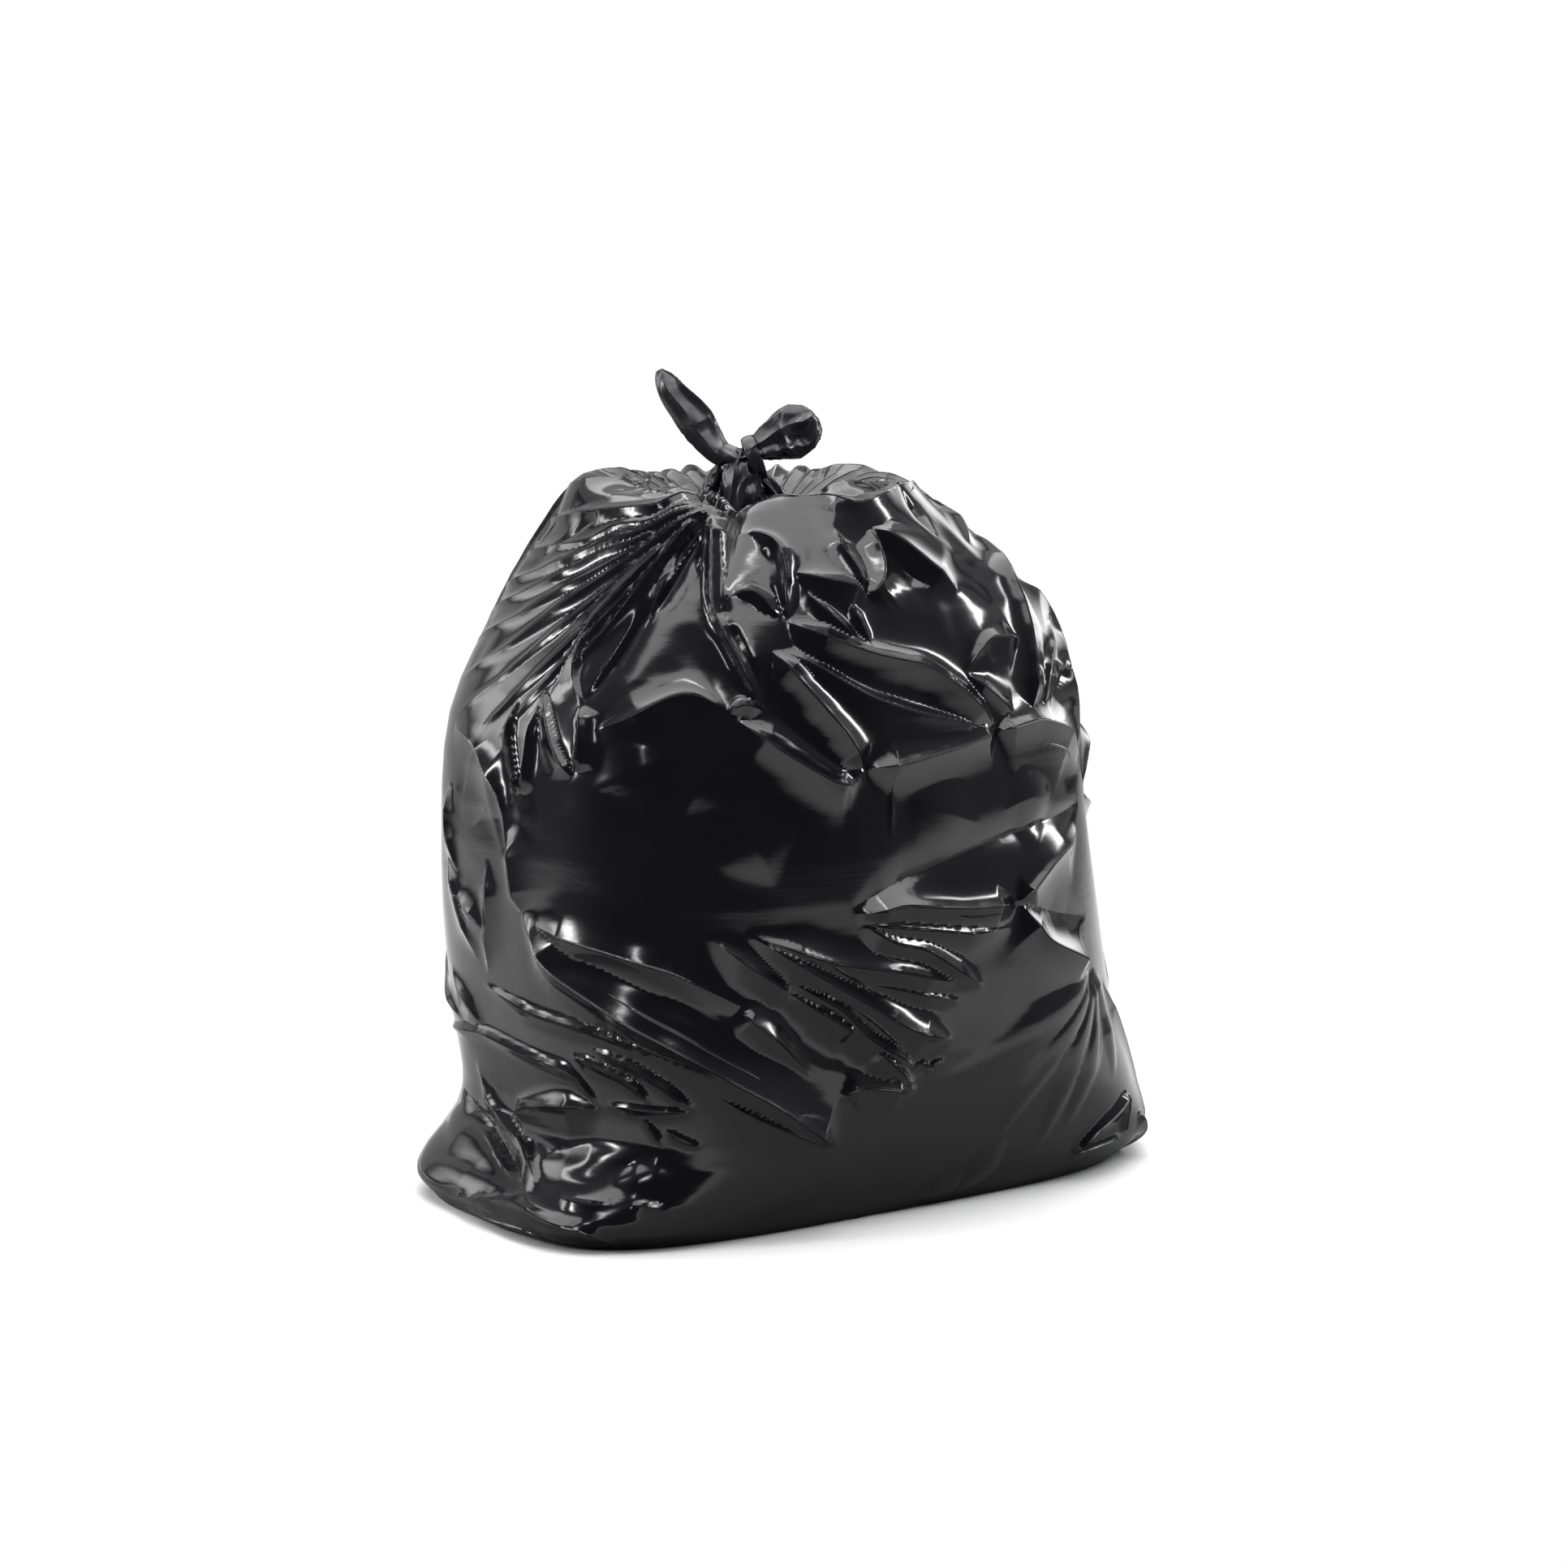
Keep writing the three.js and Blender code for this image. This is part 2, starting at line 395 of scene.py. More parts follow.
def neck_pleats(count, fan_place, generator):
    """Pleats that run out from the knot: short ones in front, some to where the fan starts, and long ones
    over the crown on the hidden side."""
    pleats = []
    for number in range(count):
        column = (number + generator.uniform(-0.3, 0.3)) / count * COLUMNS
        away = abs(columns_from(column, FACING_COLUMN)) / (COLUMNS / 2)
        hidden = float(smooth((away - HIDDEN_FROM) * HIDDEN_STEEPNESS))
        low = PLEAT_TOP - FRONT_PLEAT - HIDDEN_PLEAT * hidden * generator.uniform(*HIDDEN_LENGTHS)
        drift = generator.normal(0, PLEAT_DRIFT)
        rise = generator.uniform(*PLEAT_RISES)
        pleat = Crease((), rise, 4 + 3 * hidden, 5 + 3 * hidden, 0.05, 0.45)
        from_fan = columns_from(column, fan_place[1])
        if abs(from_fan) < FAN_GATHER:
            low, drift, pleat = fan_place[0], -FAN_PULL * from_fan, pleat._replace(finish=pleat.start)
        halfway = ((PLEAT_TOP + low) / 2, column + drift * 0.3)
        places = [(PLEAT_TOP, column), halfway, (low, column + drift)]
        pleats.append((pleat, grid_line(places)))
    return pleats


def hidden_folds(count, generator):
    """Folds on the hidden side: upright ones high up, slanting ones below them and nearly level ones near the
    floor."""
    folds = []
    for _ in range(count):
        row = generator.uniform(*FOLD_ROWS)
        column = BACK_COLUMN + generator.uniform(-FOLD_WIDTH, FOLD_WIDTH) * COLUMNS
        slope = np.interp(row, SLOPE_ROWS, SLOPES) + generator.normal(0, SLOPE_CHANCE)
        slope = math.radians(slope) * generator.choice((-1, 1))
        length = generator.uniform(*FOLD_LENGTHS)
        run = np.array([math.sin(slope), math.cos(slope)]) * length / 2
        middle = np.array([row, column])
        bend = np.array([generator.normal(0, BEND_CHANCE) * length, 0])
        fold = Crease((), generator.uniform(*FOLD_RISES), *generator.uniform(*FOLD_SPREADS, 2))
        folds.append((fold, grid_line([middle - run, middle + bend, middle + run])))
    return folds


class FoldGrid:
    """The grid with points moved along its rows and columns onto the creases, so that folds are sharp."""

    def __init__(self):
        self.rows, self.columns = np.mgrid[0:ROWS, 0:COLUMNS].astype(float)
        self.owner = np.zeros((ROWS, COLUMNS), int)

    def follow(self, line, number):
        """Moves the points nearest to a line onto it, each next to the one before."""
        stations = np.arange(line.shape[1])
        fine = np.linspace(0, stations[-1], FINE_STEPS * line.shape[1])
        route = np.stack([np.interp(fine, stations, values) for values in line], axis=1)
        nearest = np.round(route).astype(int)
        gap = np.linalg.norm(route - nearest, axis=1)
        starts = np.nonzero(np.any(np.diff(nearest, axis=0, prepend=-9) != 0, axis=1))[0]
        passed = []
        for first, last in zip(starts, [*starts[1:], len(route)]):
            chosen = first + np.argmin(gap[first:last])
            while len(passed) > 1 and np.abs(nearest[passed[-2]] - nearest[chosen]).max() < 2:
                passed.pop()
            passed.append(chosen)
        for chosen in passed:
            self.move(*nearest[chosen].tolist(), *route[chosen].tolist(), number)

    def freedom(self, line, number):
        """How free a line's points are of stronger creases that run along beside it, from 0 to 1."""
        rows, columns = np.round(line).astype(int)
        beside = np.zeros(line.shape[1])
        for row_step in BESIDE_STEPS:
            near_rows = np.clip(rows + row_step, 0, ROWS - 1)
            for column_step in BESIDE_STEPS:
                near = self.owner[near_rows, (columns + column_step) % COLUMNS]
                beside[(near > 0) & (near < number)] = 1
        run = np.convolve(np.pad(beside, RUN_LENGTH // 2), np.ones(RUN_LENGTH) / RUN_LENGTH, mode="valid")
        return 1 - smooth((run - RUN_SHARE) * RUN_STEEPNESS)

    def move(self, row, column, to_row, to_column, number):
        """Moves one point, unless a stronger crease has it."""
        turns = column // COLUMNS
        column -= turns * COLUMNS
        if SEAL_ROWS * 2 < row < ROWS - 2 and self.owner[row, column] == 0:
            self.owner[row, column] = number
            self.rows[row, column] = to_row
            self.columns[row, column] = to_column - turns * COLUMNS

    def sampled(self, grid):
        """A grid's values at the moved points."""
        return grid_sample(grid, self.rows.ravel(), self.columns.ravel()).reshape(ROWS, COLUMNS, 3)

    def triangles(self):
        """For each cell, whether its diagonal runs from its first corner, so that it lies along a crease."""
        after = np.roll(self.owner, -1, axis=1)
        first, second = self.owner[:-1], after[:-1]
        third, fourth = after[1:], self.owner[1:]
        along = (first == third) & (first > 0)
        across = (second == fourth) & (second > 0)
        return along | ~across


def hidden_places(places, generator):
    """Grid places on the hidden side of the bag: mirrored ones, moved by chance except near the knot."""
    row_move, column_move = generator.normal(0, MIRRORED_MOVES)
    moved = []
    for row, column in places:
        free = float(smooth((ROWS - row) / KNOT_ROWS))
        back = 2 * (FACING_COLUMN + COLUMNS / 4) - column
        moved_row = min(max(row + row_move * free, MIRRORED_LOWEST), ROWS - 1)
        moved.append((moved_row, back + column_move * free))
    return moved


def rounded_line(stations, values, fine):
    """Values along a line through stations, with its corners a little rounded."""
    line = np.interp(fine, stations, values)
    for _ in range(CORNER_ROUNDING):
        line[1:-1] = 0.25 * line[:-2] + 0.5 * line[1:-1] + 0.25 * line[2:]
    return line


def grid_sample(grid, rows, columns):
    """A grid's values between its points; its columns run round the bag."""
    rows = np.clip(rows, 0, ROWS - 1.001)
    low_row = np.floor(rows).astype(int)
    low_column = np.floor(columns).astype(int)
    row_share = (rows - low_row)[:, None]
    column_share = (columns - low_column)[:, None]
    near = low_column % COLUMNS
    far = (low_column + 1) % COLUMNS
    lower = grid[low_row, near] * (1 - column_share) + grid[low_row, far] * column_share
    upper = grid[low_row + 1, near] * (1 - column_share) + grid[low_row + 1, far] * column_share
    return lower * (1 - row_share) + upper * row_share


# Creases that the photograph shows. A route is in its pixels. Rise is how far the crease stands out, or
# in where it is negative, and left and right are how far it spreads on each side, all in millimetres.
# Start and finish are the shares of the route over which it grows and dies away.
PHOTO_CREASES = {
    # The notch in front of the knot
    "notch": Crease(((912, 606), (908, 640), (900, 690), (896, 740)), -14, 13, 15, 0.01, 0.5),
    # The fan of pleats left of the knot
    "fan_rim": Crease(((886, 604), (800, 602), (733, 604), (684, 640), (656, 675)), 5, 8, 6, 0.1, 0.35),
    "fan_rim_hollow": Crease(((886, 608), (790, 622), (720, 640), (668, 690)), -3.2, 4, 5, 0.1, 0.4),
    "facet_left": Crease(((890, 618), (821, 675), (727, 771), (705, 831), (719, 867)), 4, 4, 12, 0.08, 0.2),
    "facet_right": Crease(
        ((890, 620), (818, 697), (793, 757), (733, 851), (719, 867)), -3.2, 10, 3, 0.08, 0.2),
    "tip_left": Crease(((891, 618), (845, 675), (812, 730), (795, 767)), 4, 3, 8, 0.08, 0.2),
    "tip_right": Crease(((892, 620), (853, 681), (820, 735), (796, 767)), -3.2, 6, 3, 0.08, 0.2),
    "deep_pleat": Crease(((874, 632), (852, 668), (834, 692), (824, 715)), -5.2, 4, 4, 0.1, 0.4),
    "strap_1": Crease(((875, 630), (868, 670), (862, 715)), 4, 3, 3, 0.1, 0.5),
    "long_edge": Crease(((878, 628), (877, 690), (879, 757), (905, 812), (937, 872)), 7, 26, 4, 0.1, 0.2),
    "long_edge_hollow": Crease(
        ((886, 640), (887, 700), (890, 757), (915, 806), (945, 862)), -3.2, 4, 9, 0.1, 0.3),
    # Fingers that hang below the fan
    "finger_1_right": Crease(((719, 867), (720, 900), (719, 928), (708, 953)), 6, 8, 3, 0.2, 0.15),
    "finger_1_left": Crease(((672, 850), (678, 889), (689, 936), (705, 955)), 5, 3, 6, 0.3, 0.15),
    "finger_2_left": Crease(((640, 860), (628, 905), (633, 945), (642, 977)), 5, 3, 5, 0.3, 0.12),
    "finger_2_right": Crease(((668, 862), (652, 916), (648, 955), (644, 975)), 5, 5, 3, 0.3, 0.12),
    "side_facet": Crease(((560, 890), (590, 918), (622, 985), (626, 1056)), 6, 12, 14, 0.4, 0.35),
    "side_facet_rim": Crease(((626, 912), (622, 950), (624, 1010), (626, 1058)), -2.6, 8, 8, 0.35, 0.35),
    "soft_arch": Crease(((726, 905), (769, 889), (840, 853), (862, 853), (900, 881)), 6, 8, 12, 0.35, 0.3),
    "pocket": Crease(((900, 881), (917, 862), (937, 875)), 5, 3, 5, 0.3, 0.3),
    # Folds right of the knot
    "throat_fold_1": Crease(((905, 655), (929, 659), (962, 683), (968, 728), (969, 767)), 7, 7, 7, 0.3, 0.3),
    "throat_fold_3": Crease(((890, 750), (905, 728), (930, 728), (962, 766)), 5, 6, 8, 0.3, 0.3),
    "leaf_top": Crease(
        ((969, 768), (1020, 789), (1070, 809), (1136, 824), (1178, 854), (1225, 898)), 10, 9, 14, 0.15, 0.12),
    "leaf_hollow": Crease(((975, 790), (1040, 826), (1110, 850), (1170, 876)), -1.3, 10, 10, 0.35, 0.35),
    "leaf_middle": Crease(
        ((944, 795), (995, 818), (1070, 860), (1130, 878), (1223, 900)), 6, 10, 14, 0.2, 0.15),
    "leaf_side": Crease(((946, 800), (989, 848), (1040, 908), (1061, 947)), 9, 14, 9, 0.2, 0.12),
    "leaf_lower": Crease(((1061, 948), (1100, 944), (1175, 923), (1225, 900)), 8, 14, 8, 0.2, 0.1),
    "big_finger_hollow": Crease(((925, 815), (970, 870), (1010, 915), (1040, 945)), -2, 10, 10, 0.35, 0.35),
    "big_finger_edge": Crease(
        ((902, 883), (960, 926), (1010, 957), (1040, 969), (1058, 962)), 8, 9, 8, 0.25, 0.15),
    "big_finger_end": Crease(((1040, 969), (1056, 964), (1062, 947)), 5, 5, 4, 0.3, 0.3),
    "right_fold_1": Crease(((971, 704), (1020, 716), (1058, 725), (1067, 735)), 5, 6, 10, 0.25, 0.2),
    "right_fold_2": Crease(((1026, 650), (1031, 672), (1055, 708), (1064, 735)), 5, 8, 6, 0.25, 0.2),
    "right_fold_3": Crease(((1066, 650), (1085, 695), (1082, 724), (1068, 736)), 7, 10, 8, 0.25, 0.2),
    "right_fold_4": Crease(((985, 725), (1025, 760), (1072, 805)), 4, 6, 6, 0.35, 0.3),
    "right_fold_5": Crease(((1040, 735), (1062, 775), (1076, 806)), 4, 5, 5, 0.35, 0.3),
    "streak_top": Crease(((1066, 650), (1112, 671), (1150, 705), (1182, 733)), 7, 14, 8, 0.2, 0.25),
    "streak_bottom": Crease(((1076, 662), (1110, 696), (1148, 727)), -3, 6, 8, 0.25, 0.25),
    "brow_ridge": Crease(
        ((962, 612), (1010, 621), (1055, 626), (1103, 608), (1124, 574)), 7, 8, 14, 0.2, 0.2),
    "brow_fold": Crease(((1100, 606), (1116, 624), (1152, 664)), -3.2, 6, 6, 0.35, 0.4),
    "brow_peak": Crease(((1000, 604), (1018, 590), (1050, 612)), 5, 6, 6, 0.35, 0.35),
    "shoulder_line": Crease(((1190, 640), (1233, 704), (1264, 792), (1268, 886)), 8, 14, 9, 0.3, 0.15),
    "shoulder_facet": Crease(((1187, 831), (1214, 784), (1262, 791)), 5, 8, 8, 0.3, 0.3),
    "shoulder_rays_1": Crease(((1187, 831), (1225, 862), (1254, 886)), 5, 7, 6, 0.3, 0.3),
    "shoulder_rays_2": Crease(((1290, 740), (1288, 820), (1281, 886)), 5, 7, 7, 0.4, 0.35),
    "shoulder_rays_3": Crease(((1312, 770), (1308, 840), (1290, 884)), -2.6, 6, 6, 0.4, 0.3),
    "right_arch": Crease(((1225, 900), (1271, 887), (1308, 899), (1328, 940)), 8, 9, 14, 0.1, 0.3),
    "straight_line": Crease(((1100, 908), (1100, 970), (1100, 1036)), 1.2, 2, 2, 0.35, 0.35),
    # Pinches and stars on the right of the belly
    "pinch_upper": Crease(((1051, 1121), (1099, 1093), (1218, 1043), (1328, 990)), -6, 12, 9, 0.2, 0.35),
    "pinch_ridge": Crease(
        ((1052, 1130), (1075, 1122), (1102, 1115), (1180, 1115), (1253, 1116)), 9, 9, 8, 0.15, 0.15),
    "pinch_second": Crease(((1061, 1142), (1106, 1139), (1198, 1147), (1248, 1144)), 6, 7, 7, 0.15, 0.3),
    "pinch_third": Crease(
        ((1061, 1142), (1099, 1160), (1132, 1166), (1185, 1199), (1212, 1214)), 7, 8, 7, 0.15, 0.25),
    "star_up": Crease(((1254, 1112), (1288, 1066), (1325, 1020)), 8, 8, 9, 0.15, 0.3),
    "star_down": Crease(((1255, 1116), (1278, 1154), (1341, 1190)), 9, 10, 10, 0.2, 0.2),
    "star_hollow": Crease(((1262, 1114), (1300, 1120), (1338, 1130)), -3.2, 10, 10, 0.4, 0.35),
    "edge_fan_1": Crease(((1341, 1192), (1311, 1247), (1249, 1287), (1160, 1335)), 3, 9, 10, 0.15, 0.5),
    "edge_fan_2": Crease(((1342, 1194), (1300, 1290), (1262, 1350), (1225, 1405)), 3, 7, 8, 0.15, 0.5),
    "edge_fan_3": Crease(((1343, 1194), (1325, 1290), (1300, 1365), (1272, 1420)), 3, 7, 7, 0.15, 0.5),
    "edge_fan_4": Crease(((1344, 1194), (1348, 1270), (1335, 1330), (1312, 1390)), 3, 7, 7, 0.15, 0.4),
    "edge_fan_5": Crease(((1345, 1194), (1366, 1270), (1372, 1330)), 3, 7, 7, 0.15, 0.4),
    "foot_streak_1": Crease(((1240, 1395), (1210, 1440), (1170, 1470)), 2, 7, 7, 0.35, 0.35),
    "foot_streak_2": Crease(((1200, 1440), (1165, 1460), (1120, 1475)), 1.6, 7, 7, 0.35, 0.35),
    # Long slanting folds across the front
    "slant_tip_upper": Crease(((921, 1151), (1023, 1182), (1112, 1199), (1190, 1215)), 9, 8, 10, 0.22, 0.2),
    "slant_tip_lower": Crease(((921, 1152), (1026, 1212), (1112, 1262), (1172, 1281)), 10, 10, 8, 0.22, 0.15),
    "slant_tip_hollow": Crease(((960, 1170), (1060, 1212), (1150, 1246)), -2.6, 8, 8, 0.4, 0.35),
    "slant_3": Crease(((958, 1208), (1033, 1242), (1066, 1278), (1129, 1312)), 8, 7, 7, 0.25, 0.2),
    "slant_4": Crease(((961, 1218), (1059, 1278), (1112, 1322), (1129, 1336)), 8, 7, 8, 0.25, 0.2),
    "slant_4_hollow": Crease(((900, 1210), (1000, 1275), (1090, 1332)), -2.6, 7, 7, 0.4, 0.35),
    "zigzag_1": Crease(((1120, 1320), (1140, 1298), (1148, 1318)), 2, 1.4, 1.4, 0.3, 0.3),
    "zigzag_2": Crease(((1140, 1326), (1150, 1302), (1162, 1312)), 2, 1.4, 1.4, 0.3, 0.3),
    "hook": Crease(((1130, 1341), (1060, 1340), (1034, 1348), (1036, 1366)), 6, 7, 7, 0.25, 0.25),
    "long_slant": Crease(
        ((643, 1127), (662, 1150), (686, 1190), (732, 1226), (832, 1285), (961, 1365), (1034, 1412)),
        12, 18, 8, 0.12, 0.08),
    "long_slant_bulge": Crease(((648, 1130), (745, 1170), (832, 1196), (930, 1250)), 7, 14, 11, 0.2, 0.4),
    "long_slant_hollow": Crease(((690, 1186), (749, 1194), (818, 1222), (900, 1275)), -2.6, 7, 7, 0.3, 0.4),
    "second_slant": Crease(((760, 1165), (870, 1215), (960, 1285), (1010, 1340)), 7, 9, 8, 0.3, 0.3),
    "third_slant": Crease(((870, 1150), (930, 1190), (1010, 1250)), 6, 7, 7, 0.3, 0.3),
    "slant_foot": Crease(((974, 1366), (1000, 1372), (1018, 1380)), 4, 4, 4, 0.35, 0.3),
    "slant_foot_left": Crease(((850, 1330), (930, 1372), (1020, 1412)), 6, 8, 7, 0.4, 0.2),
    # The slack lower left corner
    "belt_1": Crease(((560, 1259), (600, 1272), (706, 1322), (742, 1367)), 5, 3.5, 4, 0.25, 0.2),
    "belt_2": Crease(
        ((596, 1212), (663, 1252), (740, 1274), (800, 1290), (876, 1316)), 4.5, 3.5, 4, 0.25, 0.2),
    "belt_ends": Crease(((745, 1362), (790, 1366), (858, 1371)), 2.2, 2.4, 2.4, 0.3, 0.3),
    "belt_6": Crease(((704, 1300), (784, 1335), (806, 1360)), 3.4, 3, 3, 0.2, 0.2),
    "belt_8": Crease(((722, 1290), (775, 1309), (811, 1327), (840, 1350), (858, 1369)), 3.4, 3, 3, 0.25, 0.2),
    "slack_1": Crease(((785, 1372), (800, 1385), (818, 1411)), 1.8, 1.8, 1.8, 0.3, 0.3),
    "slack_2": Crease(((816, 1390), (840, 1406), (868, 1416)), 1.8, 1.8, 1.8, 0.3, 0.3),
    "corner_bulge": Crease(((629, 1383), (652, 1364), (690, 1357), (739, 1367)), 8, 6, 14, 0.2, 0.25),
    "flap_ridge": Crease(((588, 1310), (614, 1370), (640, 1405), (659, 1464)), 5.5, 8, 9, 0.2, 0.2),
    "flap_hollow": Crease(((568, 1334), (594, 1378), (628, 1432), (655, 1474)), -4, 6, 7, 0.2, 0.3),
    "lobe_1": Crease(((560, 1362), (585, 1412), (640, 1466)), 3, 8, 8, 0.35, 0.35),
    "lobe_2": Crease(((536, 1420), (580, 1448), (650, 1490)), 2.5, 7, 7, 0.4, 0.4),
    "base_fold_1": Crease(((548, 1470), (640, 1480), (729, 1516), (772, 1538)), 5, 5, 6, 0.35, 0.3),
    "base_fold_2": Crease(((560, 1484), (650, 1508), (750, 1534)), 4, 5, 5, 0.35, 0.35),
    "base_wrinkle_1": Crease(((690, 1475), (724, 1483), (756, 1488)), 2.4, 2.8, 3.4, 0.3, 0.3),
    "base_wrinkle_2": Crease(((776, 1485), (800, 1492), (828, 1489)), 2.4, 2.8, 3.4, 0.3, 0.3),
    "base_wrinkle_3": Crease(((760, 1454), (795, 1446), (834, 1452)), 2.4, 7, 7, 0.35, 0.35),
    "base_wrinkle_4": Crease(((650, 1430), (720, 1436), (790, 1424)), 2.4, 7, 7, 0.4, 0.4),
    # The slack lower right corner
    "ear_corner_left": Crease(((1318, 1420), (1348, 1388), (1388, 1342)), 5, 3.5, 3.5, 0.1, 0.1),
    "ear_corner_right": Crease(((1388, 1344), (1384, 1372), (1380, 1398)), 4, 3, 3, 0.1, 0.2),
    "ear_corner_base": Crease(((1319, 1421), (1350, 1412), (1380, 1399)), 3.2, 3, 3, 0.1, 0.2),
    # Soft dents of the belly
    "dent_1": Crease(((880, 1070), (935, 1046), (985, 1020)), 2.5, 16, 14, 0.5, 0.5),
    "dent_2": Crease(((830, 940), (850, 962), (900, 985)), 2.0, 12, 12, 0.5, 0.5),
    "dent_3": Crease(((760, 900), (790, 960), (800, 1010)), 2.5, 18, 18, 0.5, 0.5),
    "dent_4": Crease(((1180, 940), (1160, 1000), (1150, 1060)), 2.5, 18, 18, 0.5, 0.5),
    "dent_5": Crease(((1240, 920), (1270, 980), (1275, 1050)), 3, 14, 14, 0.5, 0.5),
    # Folds along the skyline
    "skyline_left": Crease(((700, 622), (730, 580), (790, 570), (850, 588)), 8, 14, 14, 0.4, 0.4),
    "skyline_left_hollow": Crease(((735, 600), (800, 588), (862, 598)), -3.9, 6, 6, 0.4, 0.4),
    "skyline_right": Crease(((985, 594), (1013, 588), (1060, 582), (1118, 572)), 8, 14, 14, 0.35, 0.35),
    "skyline_right_2": Crease(((1118, 573), (1160, 617), (1200, 668)), 6, 12, 12, 0.3, 0.4),
    "skyline_right_3": Crease(((1233, 704), (1283, 743), (1322, 797), (1329, 860)), 7, 14, 14, 0.35, 0.35),
    # Soft folds of the left side
    "corner_line": Crease(((624, 1010), (630, 1060), (638, 1098), (643, 1127)), 5, 16, 6, 0.4, 0.2),
    "side_4": Crease(((556, 960), (552, 1020), (566, 1080)), 4, 8, 8, 0.3, 0.4),
    "side_5": Crease(((552, 1040), (566, 1110), (590, 1180)), 4, 8, 7, 0.3, 0.3),
    "side_6": Crease(((600, 1060), (606, 1120), (600, 1200)), 4, 8, 8, 0.3, 0.3),
    "side_7": Crease(((545, 1130), (552, 1200), (575, 1262)), 4, 6, 6, 0.3, 0.3),
    "side_1": Crease(((560, 1090), (585, 1130), (602, 1155)), 4, 9, 9, 0.4, 0.4),
    "side_2": Crease(((556, 1190), (575, 1230), (600, 1268)), 4, 7, 7, 0.4, 0.35),
}

# The fan's straight pleats run from the knot to these pixels, near the bag's left outline
FAN_START = (882, 616)
FAN_ENDS = (
    (723, 592), (672, 640), (642, 688), (616, 725), (598, 757), (582, 795),
    (568, 840), (560, 885), (570, 922), (604, 918), (640, 892), (676, 858),
)
FAN_PLEAT = Crease((), 3.4, 4.0, 6.0, 0.12, 0.5)
FAN_STATIONS = 7
FAN_CHANGE = 0.35
FAN_CHANGE_STEP = 2.4


def fan_pleats():
    """The fan's pleats, each a straight line in the photograph."""
    for number, end in enumerate(FAN_ENDS):
        shares = np.linspace(0, 1, FAN_STATIONS)
        route = [tuple(np.interp(share, (0, 1), pair) for pair in zip(FAN_START, end)) for share in shares]
        change = 1 + FAN_CHANGE * math.sin(FAN_CHANGE_STEP * number)
        yield FAN_PLEAT._replace(route=route, rise=FAN_PLEAT.rise * change, left=FAN_PLEAT.left * change)


def fold_profile(distance, reach, flare):
    """How much of a crease's rise the film has at a distance: straight sides at the crest, then it flares."""
    edge = np.maximum(1 - STRAIGHT_SIDE / reach, 0) ** flare
    flare = np.maximum(1 - distance / reach, 0) ** flare
    return np.where(distance < STRAIGHT_SIDE, 1 - (1 - edge) * distance / STRAIGHT_SIDE, flare)


def nearest_on(route, points):
    """For each point, the square of its distance from a route, the way from the nearest place on it, the
    direction of the route there and the share of it that is passed; then the shares at the route's own
    points."""
    best = np.full(len(points), np.inf)
    offset = np.zeros_like(points)
    heading = np.zeros_like(points)
    along = np.zeros(len(points))
    lengths = np.linalg.norm(np.diff(route, axis=0), axis=1)
    stations = np.concatenate([[0], np.cumsum(lengths)]) / max(lengths.sum(), 1e-9)
    for number, (first, second) in enumerate(zip(route[:-1], route[1:])):
        step = second - first
        share = np.clip((points - first) @ step / max(step @ step, 1e-12), 0, 1)
        gap = points - (first + share[:, None] * step)
        distance = dots(gap, gap)
        nearer = distance < best
        best[nearer] = distance[nearer]
        offset[nearer] = gap[nearer]
        heading[nearer] = step
        along[nearer] = (stations[number] + share * (stations[number + 1] - stations[number]))[nearer]
    return best, offset, unit(heading), np.clip(along, 0, 1), stations


